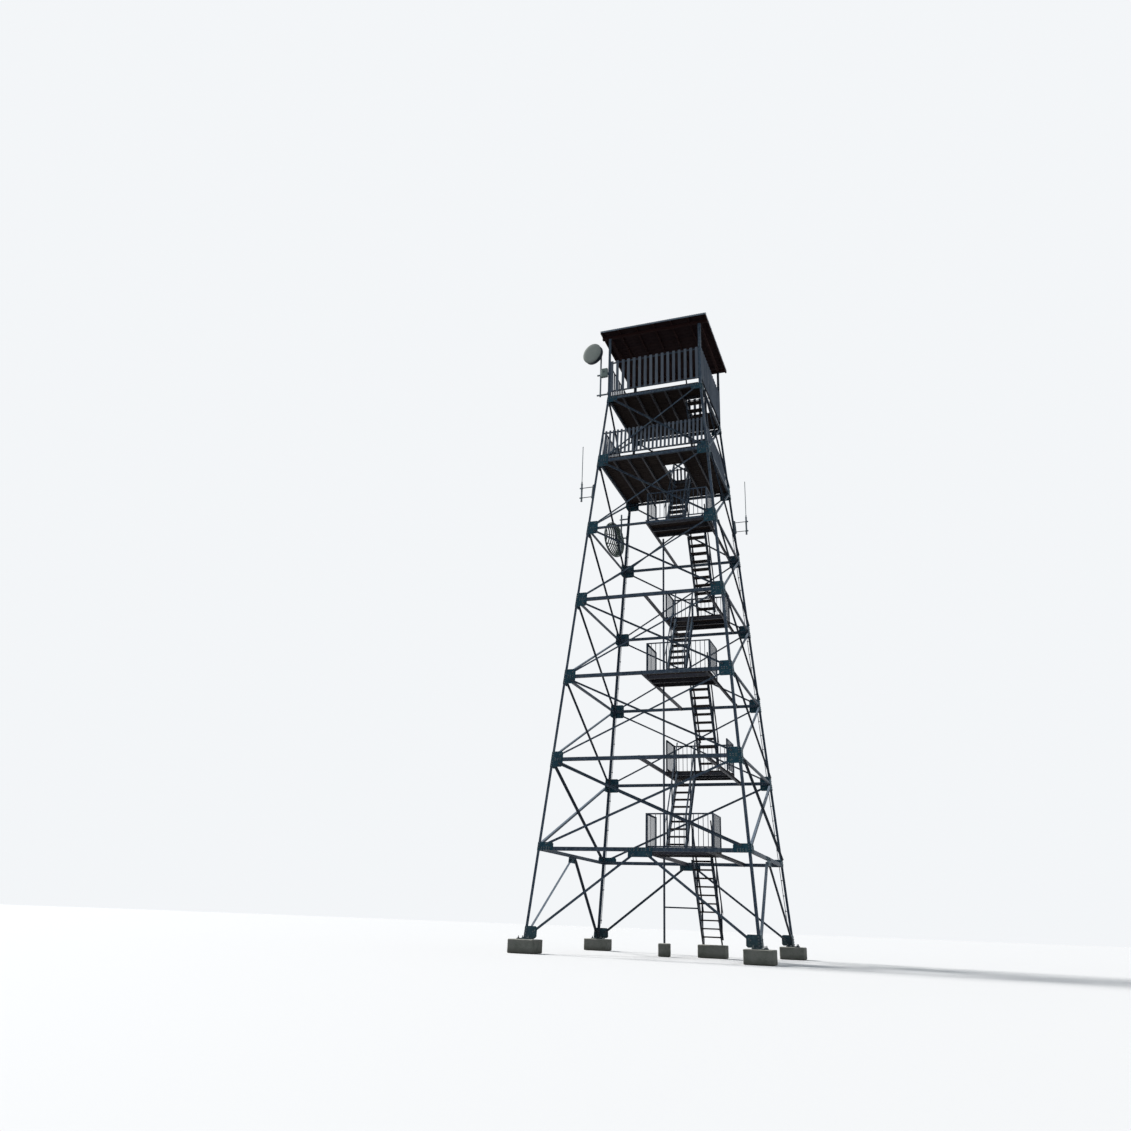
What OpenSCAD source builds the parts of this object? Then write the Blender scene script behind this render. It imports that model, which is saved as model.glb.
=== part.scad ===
/* [Frame] */
// Width across the leg heels at the top of the footings
base_w = 6200; // [5600:10:7000]
// Width across the leg heels at the upper deck
top_w = 3200; // [3180:10:3600]
// Height of the bottom panel, from the footings to the first girts
first_panel_h = 2300; // [2100:10:2600]
// Height of each panel above the first
panel_h = 2440; // [2300:10:2700]
// Height of the roof posts above the legs
roof_post_h = 2300; // [2100:10:2700]

/* [Steel sections] */
// Flange width of the leg angles
leg_w = 75; // [65:5:90]
// Thickness of the leg angles
leg_t = 8; // [6:1:12]
// Depth of the girt angles
girt_h = 100; // [90:5:110]
// Depth of the lighter girts in the right face, and of the one in front at the fifth level
light_girt_h = 60; // [50:5:80]
// Width of the inward flange of the girt angles
girt_w = 60; // [50:5:70]
// Thickness of the girt angles
girt_t = 7; // [5:1:9]
// Flange width of the brace angles in the two bottom panels
low_brace_w = 65; // [55:5:75]
// Flange width of the brace angles in the panels above
brace_w = 50; // [40:5:60]
// Thickness of the brace angles
brace_t = 6; // [4:1:8]
// Thickness of the gusset plates
gusset_t = 10; // [6:1:14]
// Width of a gusset plate, from the heel of the leg
gusset_w = 350; // [330:10:420]
// Height of a gusset plate
gusset_h = 440; // [400:10:520]
// Width of the low plates at the first girts
low_gusset_w = 450; // [400:10:520]
// Height of the low plates at the first and the top girts
low_gusset_h = 220; // [210:10:280]
// Height of the plates above the base plates
foot_gusset_h = 300; // [250:10:360]
// Width of the plate where the bottom braces meet
mid_gusset_w = 660; // [600:10:1000]

/* [Footings] */
// Height of the concrete footings
footing_h = 350; // [250:10:600]
// Width of each square leg footing
footing_w = 720; // [600:10:900]
// Width of a square base plate
base_plate_w = 360; // [320:10:420]
// Thickness of the base plates
base_plate_t = 20; // [12:1:30]
// Diameter of the anchor bolt holes
anchor_d = 26; // [18:1:32]
// Spacing of the anchor bolt holes
anchor_pitch = 280; // [260:5:285]
// Depth of the anchor bolt holes in the concrete
anchor_depth = 220; // [150:10:240]
// Distance that the stair pad reaches past the stringers
pad_margin = 100; // [50:10:200]

/* [Stair] */
// Width of a flight over its stringers
flight_w = 590; // [540:10:600]
// Distance from the right flights to the leg heels at the upper deck
lane_margin = 130; // [120:5:150]
// Gap between the left and the right flights
lane_gap = 100; // [90:5:110]
// Front edge of the stair well
well_front_y = -800; // [-900:10:-700]
// Back edge of the stair well
well_back_y = 450; // [350:10:550]
// Clearance between a flight and the edge of a deck opening
well_gap = 30; // [20:5:40]
// Distance that the foot of a flight stands in on its landing
flight_foot = 150; // [120:10:220]
// Number of risers in a flight
risers = 11; // [10:1:12]
// Depth of a tread
tread_d = 200; // [150:5:210]
// Thickness of the treads and floor planks
plank_t = 38; // [30:1:50]
// Depth of the stringer channels
stringer_h = 180; // [150:5:200]
// Width of the stringer flanges
stringer_flange = 45; // [40:1:55]
// Thickness of the stringer channels
stringer_t = 6; // [4:1:8]
// Height of a flight's handrail above the edges of its treads
handrail_h = 900; // [800:10:1000]

/* [Landings] */
// Depth of a landing from front to back
landing_d = 1050; // [900:10:1100]
// Distance that the landings reach past the left flights
landing_left = 335; // [300:5:400]
// Distance that the landings reach past the right flights
landing_right = 275; // [150:5:290]
// Depth of the bearer and joist channels
bearer_h = 100; // [80:5:120]
// Flange width of the bearer and joist channels
bearer_w = 50; // [40:5:55]
// Thickness of the bearer and joist channels
bearer_t = 6; // [5:1:8]
// Height of the landing railings
landing_rail_h = 950; // [850:10:1100]
// Largest spacing of the pickets
picket_pitch = 135; // [100:5:150]
// Thickness of a square picket
picket_t = 16; // [10:1:18]
// Flange width of the rail and handrail angles
rail_w = 40; // [30:1:45]
// Thickness of the rail and handrail angles
rail_t = 5; // [4:1:6]
// Height of the lowest rail above a floor
rail_gap = 80; // [60:5:110]
// Diameter of the slender post beside the stair
stair_post_d = 60; // [40:5:76]

/* [Decks] */
// Height of the lower deck railing
lower_rail_h = 1070; // [950:10:1150]
// Top of the upper deck slats above the floor
upper_rail_h = 1330; // [1100:10:1450]
// Open gap under the slats
slat_gap = 130; // [80:5:200]
// Thickness of a slat
slat_t = 22; // [15:1:30]
// Width of a slat of the lower deck
lower_slat_w = 65; // [40:5:80]
// Largest spacing of the slats of the lower deck
lower_slat_pitch = 135; // [110:5:160]
// Width of a slat of the upper deck
upper_slat_w = 90; // [60:5:110]
// Largest spacing of the slats of the upper deck
upper_slat_pitch = 195; // [150:5:220]
// Largest spacing of the deck joists
joist_pitch = 560; // [400:10:600]

/* [Roof] */
// Flange width of the roof post angles
post_w = 90; // [75:5:110]
// Thickness of the roof post angles
post_t = 7; // [5:1:10]
// Overhang of the roof past the posts
roof_overhang = 230; // [150:10:350]
// Width of the roof beams
roof_beam_w = 75; // [60:5:90]
// Width of the roof rafters
rafter_w = 50; // [40:5:75]
// Depth of the roof rafters
rafter_h = 75; // [60:5:120]
// Number of roof rafters
rafters = 7; // [5:1:9]
// Thickness of the roof boards
roof_board_t = 22; // [18:1:30]
// Height of the turned-down edge of the roof sheet
roof_edge_h = 60; // [40:5:80]
// Thickness of the roof sheet
roof_sheet_t = 3; // [2:1:5]

/* [Antennas] */
// Diameter of the drum-shaped dish
dish_d = 720; // [600:10:800]
// Depth of the dish from hub to cover
dish_depth = 260; // [200:10:300]
// Wall of the dish
dish_wall = 4; // [3:1:8]
// Diameter of the antenna masts
mast_d = 60; // [50:5:70]
// Length of the dish mast
dish_mast_h = 1650; // [1550:10:1900]
// Distance of the dish mast from the heel of the roof post
dish_mast_out = 280; // [280:10:360]
// Diameter of the grid antenna
grid_d = 1250; // [1000:10:1300]
// Depth of the grid antenna
grid_depth = 260; // [220:10:320]
// Number of bars in the grid antenna
grid_bars = 15; // [11:2:19]
// Distance of the masts at the legs from the heel of the leg
leg_mast_out = 400; // [300:10:450]
// Length of a whip antenna
whip_h = 1350; // [1000:10:1600]
// Length of the short mast of a whip antenna
whip_mast_h = 620; // [500:10:700]

/* [Hidden] */
$fn = 48;

levels = 7;
lower_deck = 6;
top_landing = 5;
steel = "#8f9a98";
timber = "#5b4a3c";
concrete = "#b9b4a6";
pale = "#c9cdca";
// Longer than any piece, and a cut past a face
far = 10000;
past = 1;

frame_h = first_panel_h + (levels - 1) * panel_h;
batter = atan((base_w - top_w) / 2 / frame_h);
// Depth of a leg's flange below the plane of a face, square to it
leg_in = leg_t * cos(batter);
// Distance of a girt's end and of a brace's end from the heel of the leg
girt_end = leg_w + 10;
brace_end = leg_w + 145;
// Clearance between a brace's end and the girt
brace_gap = 65;
plate_gap = 4;
corner_cut = 40;
mid_gusset_h = 250;

// Height of a level above the undersides of the footings
function lvl(i) = footing_h + (i == 0 ? 0 : first_panel_h + (i - 1) * panel_h);
// Distance of a level from the foot, measured up the slope of a face
function slope_v(i) = (lvl(i) - footing_h) / cos(batter);
// Half the width across the heels, at a height and up the slope
function half_at(z) = base_w / 2 - (z - footing_h) * tan(batter);
function half_v(v) = base_w / 2 - v * sin(batter);
function light_girt(side, i) = side == 1 ? i > 1 && i < 6 : side == 0 && i == 5;
function girt_size(side, i) = light_girt(side, i) ? light_girt_h : girt_h;
function brace_size(i) = i < 2 ? low_brace_w : brace_w;
// Height of the girt flange that carries bearers and joists
function seat_z(i) = lvl(i) - (girt_h / 2 - girt_t) * cos(batter) - girt_t * sin(batter);
// Height of the walking surface of a level
function floor_z(i) = seat_z(i) + bearer_h + plank_t;

leg_top_z = lvl(levels) + girt_h / 2;
post_heel = half_at(leg_top_z);
post_base_t = 12;
roof_z = leg_top_z + roof_post_h;
roof_half = top_w / 2 + roof_overhang;
roof_reach = roof_half - roof_sheet_t;

// Left edges of the right and the left flights, and the ends of the landings
lane_right_x = top_w / 2 - lane_margin - flight_w;
lane_left_x = lane_right_x - lane_gap - flight_w;
landing_left_x = lane_left_x - landing_left;
landing_right_x = lane_right_x + flight_w + landing_right;
run_y = well_back_y - well_front_y + flight_foot;

// Centre of a base plate and its footing
foot_xy = base_w / 2 - leg_w / 2;
// Slender post beside the stair, and the height of its tie to the first flight
post_x = landing_left_x + 2 * bearer_w + plate_gap + stair_post_d / 2;
post_y = well_front_y + 0.38 * (well_back_y - well_front_y);
tie_z = 0.4 * first_panel_h;

// Dish mast, and where the dish sits on it
dish_mast_x = -post_heel - dish_mast_out;
dish_mast_y = -post_heel + post_w / 2;
dish_mast_z = leg_top_z + 0.05 * dish_mast_h;
dish_up = dish_mast_h - mast_d;
dish_side = 0.25 * dish_d;
dish_hub = 0.1 * dish_d;
dish_turn = 15;
dish_arm_z = 0.5 * dish_mast_h;
radio_gap = 15;
radio_d = 120;
radio_h = 350;
whip_d = 24;

// Grid antenna and its mast on the back left leg
grid_z = lvl(lower_deck) - 0.49 * panel_h;
grid_mast_h = 1400;
grid_mast_out = 200;
grid_mast_x = -half_at(grid_z) - grid_mast_out;
grid_y = half_at(grid_z) - leg_w / 2;
grid_t = 10;
grid_bar_w = 40;
grid_rim_h = 30;
bowl_r = (grid_d * grid_d / 4 + grid_depth * grid_depth) / 2 / grid_depth;

// Lays a drawing on a face: x along it, y up its slope, z outwards
module on_face(side)
    rotate([0, 0, 90 * side])
    translate([0, -base_w / 2, footing_h])
    rotate([90 - batter, 0, 0])
    children();

// Keeps only what lies further in than a depth below some of the faces
module inside_faces(sides, depth)
    difference() {
        children();
        for (side = sides)
            on_face(side)
            translate([-far, -far, -depth])
            cube([2 * far, 4 * far, far]);
    }

module angle_2d(w, h, t) {
    square([w, t]);
    square([t, h]);
}

module channel_2d(w, h, t) {
    square([t, h]);
    square([w, t]);
    translate([0, h - t])
    square([w, t]);
}

// A leg angle, level at both ends, with its flanges in the two face planes
module leg(turn)
    color(steel)
    rotate([0, 0, 90 * turn])
    multmatrix([
        [1, 0, tan(batter), -half_at(0)],
        [0, 1, tan(batter), -half_at(0)],
        [0, 0, 1, 0],
        [0, 0, 0, 1]
    ])
    translate([0, 0, footing_h + base_plate_t])
    linear_extrude(leg_top_z - footing_h - base_plate_t)
    angle_2d(leg_w, leg_w, leg_t);

// An angle bar from a to b on a face, on the inside or the outside of the plates.
// One flange lies flat, the other stands at its upper edge.
module brace_bar(a, b, w, inside) {
    run = b - a;
    translate([a[0], a[1], inside ? 0 : gusset_t])
    rotate([0, 0, atan2(run[1], run[0])])
    mirror([0, run[0] < 0 ? 1 : 0, 0])
    mirror([0, 0, inside ? 1 : 0]) {
        translate([0, -w / 2, 0])
        cube([norm(run), w, brace_t]);
        translate([0, w / 2 - brace_t, 0])
        cube([norm(run), brace_t, w]);
    }
}

// The crossed braces of a panel: one inside the plates, one outside
module cross_braces(i) {
    v0 = slope_v(i) + girt_h / 2 + brace_gap;
    v1 = slope_v(i + 1) - girt_h / 2 - brace_gap;
    u0 = half_v(v0) - brace_end;
    u1 = half_v(v1) - brace_end;
    brace_bar([-u0, v0], [u1, v1], brace_size(i), true);
    brace_bar([u0, v0], [-u1, v1], brace_size(i), false);
}

// The two bottom braces, from the feet to the middle of the first girt
module foot_braces() {
    v0 = base_plate_t + foot_gusset_h / 2;
    v1 = slope_v(1) - girt_h / 2 - brace_gap;
    u0 = half_v(v0) - brace_end;
    u1 = mid_gusset_w / 4;
    brace_bar([-u0, v0], [-u1, v1], low_brace_w, true);
    brace_bar([u0, v0], [u1, v1], low_brace_w, true);
}

module braces(side)
    color(steel)
    on_face(side) {
        foot_braces();
        for (i = [1 : levels - 1])
            cross_braces(i);
    }

// Girts: the upright flange lies behind the plates, the other points inwards at its foot.
// The feet of all girts of a level lie in one plane, so that the bearers rest level on them
module girts(side)
    color(steel)
    on_face(side)
    for (i = [1 : levels]) {
        u = half_v(slope_v(i)) - girt_end;
        translate([-u, slope_v(i) - girt_h / 2, 0])
        rotate([90, 0, 90])
        linear_extrude(2 * u)
        mirror([0, 1, 0])
        angle_2d(girt_size(side, i), girt_w, girt_t);
    }

// A plate on the outside of a leg and a girt, cut along the heel, with its free corners off
module gusset(v, w, h) {
    low = v - h / 2;
    high = v + h / 2;
    edge = w - half_v(v);
    linear_extrude(gusset_t)
    polygon([
        [plate_gap - half_v(low), low],
        [edge - corner_cut, low],
        [edge, low + corner_cut],
        [edge, high - corner_cut],
        [edge - corner_cut, high],
        [plate_gap - half_v(high), high]
    ]);
}

module gusset_plates()
    color(steel)
    for (side = [0 : 3])
        on_face(side) {
            for (s = [0, 1])
                mirror([s, 0, 0]) {
                    gusset(base_plate_t + plate_gap + foot_gusset_h / 2, gusset_w, foot_gusset_h);
                    gusset(slope_v(1) + (low_gusset_h - girt_h) / 2, low_gusset_w, low_gusset_h);
                    for (i = [2 : levels - 1])
                        gusset(slope_v(i), gusset_w, gusset_h);
                    gusset(slope_v(levels) + (girt_h - low_gusset_h) / 2, gusset_w, low_gusset_h);
                }
            translate([-mid_gusset_w / 2, slope_v(1) + girt_h / 2 - mid_gusset_h, 0])
            cube([mid_gusset_w, mid_gusset_h, gusset_t]);
        }

module anchor_holes(depth)
    for (x = [-1, 1], y = [-1, 1])
        translate([x * anchor_pitch / 2, y * anchor_pitch / 2, -depth])
        cylinder(d = anchor_d, h = depth + past);

module at_feet()
    for (side = [0 : 3])
        rotate([0, 0, 90 * side])
        translate([-foot_xy, -foot_xy, footing_h])
        children();

module pad(w, d)
    translate([-w / 2, -d / 2, 0])
    cube([w, d, footing_h]);

module footings()
    color(concrete) {
        at_feet()
        difference() {
            translate([0, 0, -footing_h])
            pad(footing_w, footing_w);
            anchor_holes(anchor_depth);
        }
        translate([lane_right_x + flight_w / 2, well_back_y + flight_foot / 2, 0])
        pad(flight_w + 2 * pad_margin, flight_foot + 2 * stringer_h);
        translate([post_x, post_y, 0])
        pad(5 * stair_post_d, 5 * stair_post_d);
    }

module base_plates()
    color(steel)
    at_feet()
    difference() {
        translate([-base_plate_w / 2, -base_plate_w / 2, 0])
        cube([base_plate_w, base_plate_w, base_plate_t]);
        translate([0, 0, base_plate_t])
        anchor_holes(base_plate_t + past);
    }

// A channel on the front and back girts: its web at x, its flanges to one side
module bearer(i, x, way)
    inside_faces([0, 2], girt_t)
    translate([x, far / 2, seat_z(i)])
    rotate([90, 0, 0])
    mirror([way < 0 ? 1 : 0, 0, 0])
    linear_extrude(far)
    channel_2d(bearer_w, bearer_h, bearer_t);

// A channel along x between two webs: its own web at y, its flanges to one side
module cross_joist(i, x0, x1, y, way)
    translate([x0, y, seat_z(i)])
    rotate([90, 0, 90])
    mirror([way < 0 ? 1 : 0, 0, 0])
    linear_extrude(x1 - x0)
    channel_2d(bearer_w, bearer_h, bearer_t);

module stair_bearers()
    color(steel)
    for (i = [1 : top_landing]) {
        bearer(i, landing_left_x + bearer_w, -1);
        bearer(i, landing_right_x - bearer_w, 1);
    }

// Front edge of a landing: odd levels lie in front of the well, even ones behind it
function landing_y0(i) = i % 2 == 1 ? well_front_y - landing_d : well_back_y;

module landing_joists()
    color(steel)
    for (i = [1 : top_landing]) {
        x0 = landing_left_x + bearer_w;
        x1 = landing_right_x - bearer_w;
        cross_joist(i, x0, x1, landing_y0(i), 1);
        cross_joist(i, x0, x1, landing_y0(i) + landing_d / 2, 1);
        cross_joist(i, x0, x1, landing_y0(i) + landing_d, -1);
    }

module landings()
    color(timber)
    for (i = [1 : top_landing])
        translate([landing_left_x, landing_y0(i), floor_z(i) - plank_t])
        cube([landing_right_x - landing_left_x, landing_d, plank_t]);

// A straight railing along x with angle posts at its ends and bars between
module picket_rail(len, h) {
    bays = ceil((len - rail_w) / picket_pitch);
    step = (len - rail_w) / bays;
    for (s = [0, 1])
        translate([s * len, 0, 0])
        mirror([s, 0, 0])
        linear_extrude(h)
        angle_2d(rail_w, rail_w, rail_t);
    for (z = [rail_gap, h])
        translate([0, 0, z])
        rotate([90, 0, 90])
        linear_extrude(len)
        mirror([0, 1, 0])
        angle_2d(rail_w, rail_w, rail_t);
    for (k = [1 : bays - 1])
        translate([rail_w / 2 + k * step - picket_t / 2, rail_t, rail_gap - rail_t])
        cube([picket_t, picket_t, h - rail_gap]);
}

// Three railings round a landing, each on its own, with open corners
module landing_rails()
    color(steel)
    for (i = [1 : top_landing]) {
        front = i % 2 == 1;
        corner = rail_w + plate_gap;
        translate([landing_left_x, landing_y0(i) + (front ? 0 : landing_d), floor_z(i)])
        mirror([0, front ? 0 : 1, 0])
        picket_rail(landing_right_x - landing_left_x, landing_rail_h);
        for (s = [0, 1])
            translate([
                s == 0 ? landing_left_x : landing_right_x,
                landing_y0(i) + (front ? corner : 0),
                floor_z(i)
            ])
            mirror([1 - s, 0, 0])
            rotate([0, 0, 90])
            picket_rail(landing_d - corner, landing_rail_h);
    }

// Odd flights climb to the front on the right, even ones to the back on the left
function foot_z(f) = f == 1 ? footing_h : floor_z(f - 1);
function rise_of(f) = floor_z(f) - foot_z(f);
function climbs_back(f) = f % 2 == 0;
function lane_x(f) = climbs_back(f) ? lane_left_x : lane_right_x;

// Draws a flight in its own plane, x from its foot to its head and y up, then gives it width
module in_lane(f, x, w)
    translate([x, climbs_back(f) ? well_front_y - flight_foot : well_back_y + flight_foot, foot_z(f)])
    mirror([0, climbs_back(f) ? 0 : 1, 0])
    rotate([90, 0, 90])
    linear_extrude(w)
    children();

// A strip along the slope of a flight, between two offsets square to it
module slope_strip(f, low, high)
    translate([0, -plank_t])
    rotate(atan2(rise_of(f), run_y))
    translate([-far / 2, low])
    square([far, high - low]);

module stringer_strip(f, low, high)
    intersection() {
        slope_strip(f, low, high);
        square([run_y, rise_of(f)]);
    }

// A stringer channel with its web at x and its flanges outwards
module stringer(f, x, way) {
    in_lane(f, way > 0 ? x : x - stringer_t, stringer_t)
    stringer_strip(f, -stringer_h / 2, stringer_h / 2);
    for (low = [-stringer_h / 2, stringer_h / 2 - stringer_t])
        in_lane(f, way > 0 ? x : x - stringer_flange, stringer_flange)
        stringer_strip(f, low, low + stringer_t);
}

module flight(f)
    color(steel) {
        stringer(f, lane_x(f) + stringer_flange, -1);
        stringer(f, lane_x(f) + flight_w - stringer_flange, 1);
    }

module stair_treads()
    color(timber)
    for (f = [1 : levels], k = [1 : risers - 1])
        in_lane(f, lane_x(f) + stringer_flange, flight_w - 2 * stringer_flange)
        translate([(k + 0.25) * run_y / risers - tread_d / 2, k * rise_of(f) / risers - plank_t])
        square([tread_d, plank_t]);

// A sloping handrail on three posts that stand on the upper flange of a stringer
module handrail_web(f, w) {
    top = handrail_h * cos(atan2(rise_of(f), run_y));
    intersection() {
        slope_strip(f, top - w, top);
        square([run_y, rise_of(f) + handrail_h]);
    }
}

module handrail_posts(f, w) {
    top = handrail_h * cos(atan2(rise_of(f), run_y));
    for (share = [0.08, 0.5, 0.9])
        intersection() {
            slope_strip(f, stringer_h / 2, top);
            translate([share * run_y, 0])
            square([w, far]);
        }
}

module handrail(f, x, way) {
    in_lane(f, way > 0 ? x : x - rail_t, rail_t) {
        handrail_web(f, rail_w);
        handrail_posts(f, rail_w);
    }
    in_lane(f, way > 0 ? x : x - rail_w, rail_w) {
        handrail_web(f, rail_t);
        handrail_posts(f, rail_t);
    }
}

module stair_handrails()
    color(steel)
    for (f = [1 : levels]) {
        handrail(f, lane_x(f), 1);
        handrail(f, lane_x(f) + flight_w, -1);
    }

// The post runs from its pad to the fifth landing, with a tie to the first flight
module stair_post()
    color(steel)
    translate([post_x, post_y, footing_h]) {
        cylinder(d = stair_post_d, h = floor_z(top_landing) - footing_h);
        tie_y = well_back_y + flight_foot - run_y * tie_z / rise_of(1) - post_y;
        tie_x = lane_right_x + stringer_flange - stringer_t - post_x;
        rotate([0, 0, atan2(tie_y, tie_x)])
        translate([0, -rail_t, tie_z])
        cube([norm([tie_x, tie_y]) - rail_w / 2, 2 * rail_t, rail_w]);
    }

// Openings in the decks: left and right edges of the hole over a flight
function hole_x0(i) = lane_x(i) - well_gap;
function hole_x1(i) = lane_x(i) + flight_w + well_gap;
// Where the flanges of the side girts end, and the room from there to the opening
function deck_edge(i) = half_at(lvl(i)) - girt_w;
function right_room(i) = deck_edge(i) - hole_x1(i);

// Deck joists: even rows left of the opening, and one at each of its sides
module deck_joist_row(i) {
    spans = ceil((hole_x0(i) + deck_edge(i)) / joist_pitch);
    step = (hole_x0(i) + deck_edge(i)) / spans;
    for (k = [0 : spans - 1])
        bearer(i, hole_x0(i) - k * step, -1);
    if (right_room(i) > bearer_w)
        bearer(i, hole_x1(i), 1);
    if (right_room(i) > joist_pitch)
        bearer(i, hole_x1(i) + right_room(i) / 2, 1);
}

module deck_joists()
    color(steel) {
        deck_joist_row(lower_deck);
        deck_joist_row(levels);
    }

// Short channels at the head of each deck flight
module deck_headers()
    color(steel)
    for (i = [lower_deck, levels])
        inside_faces([1], girt_t)
        cross_joist(
            i,
            hole_x0(i),
            right_room(i) > bearer_w ? hole_x1(i) : far,
            climbs_back(i) ? well_back_y : well_front_y,
            climbs_back(i) ? 1 : -1
        );

// Floor of a deck: notched round the legs, with the stair opening cut out
module deck_floor(i) {
    z = floor_z(i) - plank_t;
    half = half_at(floor_z(i)) - girt_t - plate_gap;
    notch = max(leg_w, post_w) + plate_gap;
    color(timber)
    translate([0, 0, z])
    linear_extrude(plank_t)
    difference() {
        square(2 * half, center = true);
        for (x = [-1, 1], y = [-1, 1])
            translate([x * half, y * half])
            square(2 * notch, center = true);
        translate([hole_x0(i), well_front_y])
        square([hole_x1(i) - hole_x0(i), well_back_y - well_front_y]);
    }
}

// Slats side by side over a length, on the outside of their bars
module slat_row(len, h, w, pitch) {
    bays = ceil((len - w) / pitch);
    for (k = [0 : bays])
        translate([k * (len - w) / bays, -slat_t, slat_gap])
        cube([w, slat_t, h - slat_gap]);
}

module slat_bars(len, h)
    for (z = [slat_gap + rail_w / 2, h - 2 * rail_w])
        translate([0, 0, z])
        rotate([90, 0, 90])
        linear_extrude(len)
        angle_2d(rail_w, rail_w, rail_t);

// Lower deck railing: it leans with the faces, inside the braces
lower_rail_in = brace_w + slat_t + 2 * plate_gap;

module on_lower_rail(side, reach) {
    low = (floor_z(lower_deck) - footing_h) / cos(batter) + 2 * rail_w * sin(batter);
    half = half_v(low + lower_rail_h) - reach;
    on_face(side)
    translate([-half, low, -lower_rail_in])
    rotate([-90, 0, 0])
    children();
}

function lower_half(reach) =
    half_v((floor_z(lower_deck) - footing_h) / cos(batter) + 2 * rail_w * sin(batter) + lower_rail_h) - reach;

// Bars and posts of the railings, which stop short of each other at the corners
module deck_rails()
    color(steel)
    for (side = [0 : 3]) {
        corner = side % 2 == 0 ? 0 : rail_w + plate_gap;
        reach = side % 2 == 0 ? leg_in + plate_gap : lower_rail_in + corner;
        len = 2 * lower_half(reach);
        on_lower_rail(side, reach) {
            slat_bars(len, lower_rail_h);
            for (x = [0, len / 2, len - rail_t])
                translate([x, 0, 0])
                cube([rail_t, rail_w, lower_rail_h - 2 * rail_w]);
        }
        half = post_heel - post_t - corner;
        rotate([0, 0, 90 * side])
        translate([-half, -post_heel + post_t, floor_z(levels)])
        slat_bars(2 * half, upper_rail_h);
    }

module deck_slats()
    color("#8d8b86")
    for (side = [0 : 3]) {
        reach = lower_rail_in + plate_gap + (side % 2 == 0 ? 0 : rail_w + plate_gap);
        on_lower_rail(side, reach)
        slat_row(2 * lower_half(reach), lower_rail_h, lower_slat_w, lower_slat_pitch);
        half = post_heel - post_w - plate_gap;
        rotate([0, 0, 90 * side])
        translate([-half, -post_heel + post_t, floor_z(levels)])
        slat_row(2 * half, upper_rail_h, upper_slat_w, upper_slat_pitch);
    }

module roof_posts()
    color(steel)
    for (side = [0 : 3])
        rotate([0, 0, 90 * side])
        translate([-post_heel, -post_heel, leg_top_z]) {
            cube([post_w + post_base_t, post_w + post_base_t, post_base_t]);
            linear_extrude(roof_post_h)
            angle_2d(post_w, post_w, post_t);
        }

// Roof beams: a long one over the front and the back posts, and one between them on each side
module roof_beams()
    color(timber) {
        for (s = [0, 1])
            mirror([0, s, 0])
            translate([-roof_reach, -post_heel, roof_z])
            cube([2 * roof_reach, roof_beam_w, bearer_h]);
        side_half = post_heel - roof_beam_w - plate_gap;
        for (s = [0, 1])
            mirror([s, 0, 0])
            translate([-post_heel, -side_half, roof_z])
            cube([roof_beam_w, 2 * side_half, bearer_h]);
    }

module roof_rafters()
    color(timber)
    for (k = [0 : rafters - 1])
        translate([
            -roof_reach + k * (2 * roof_reach - rafter_w) / (rafters - 1),
            -roof_reach,
            roof_z + bearer_h
        ])
        cube([rafter_w, 2 * roof_reach, rafter_h]);

module roof_boards()
    color(timber)
    translate([-roof_reach, -roof_reach, roof_z + bearer_h + rafter_h])
    cube([2 * roof_reach, 2 * roof_reach, roof_board_t]);

// Roof sheet, turned down over the ends of the boards
module roof_sheet()
    color(pale)
    translate([0, 0, roof_z + bearer_h + rafter_h + roof_board_t])
    difference() {
        translate([-roof_half, -roof_half, roof_sheet_t - roof_edge_h])
        cube([2 * roof_half, 2 * roof_half, roof_edge_h]);
        translate([-roof_reach, -roof_reach, -far])
        cube([2 * roof_reach, 2 * roof_reach, far]);
    }

// Keeps only what lies outside a face
module outside_face(side)
    difference() {
        children();
        on_face(side)
        translate([-far, -far, -2 * far])
        cube([2 * far, 4 * far, 2 * far]);
    }

// A pipe with square arms towards +x, each from a start to the reach
module mast(h, arms, start, reach) {
    cylinder(d = mast_d, h = h);
    for (z = arms)
        translate([start, -rail_w / 2, z])
        cube([reach - start, rail_w, rail_w]);
}

// The dish mast hangs on the front left roof post, the grid mast on the back left leg
module antenna_masts()
    color(steel) {
        translate([dish_mast_x, dish_mast_y, dish_mast_z]) {
            mast(dish_mast_h, [rail_w, dish_arm_z], -2 * mast_d, dish_mast_out);
            mirror([1, 0, 0])
            mast(dish_mast_h, [dish_up - rail_w / 2], 0, dish_side + dish_hub);
        }
        outside_face(3)
        translate([grid_mast_x, grid_y, grid_z - 0.35 * grid_mast_h])
        mast(grid_mast_h, [0.33 * grid_mast_h, 0.85 * grid_mast_h], 0, grid_mast_out + leg_w);
    }

// Dish: a hollow drum with a cone behind and a slightly domed cover in front
module dish_profile(r, back, front) {
    lip = 20;
    polygon([
        [0, back],
        [dish_hub, back],
        [r - lip, 0.55 * dish_depth],
        [r, 0.55 * dish_depth + lip],
        [r, front - lip],
        [r - lip, front - lip / 3],
        [0, front]
    ]);
}

module dish_antenna()
    color(pale)
    translate([dish_mast_x - dish_side, dish_mast_y - mast_d, dish_mast_z + dish_up])
    rotate([90, 0, -dish_turn]) {
        rotate_extrude($fn = 96)
        difference() {
            dish_profile(dish_d / 2, 0, dish_depth);
            dish_profile(dish_d / 2 - dish_wall, dish_wall, dish_depth - dish_wall);
        }
        translate([0, 0, -mast_d / 2])
        cylinder(r = dish_hub / 2, h = mast_d / 2);
    }

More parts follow.
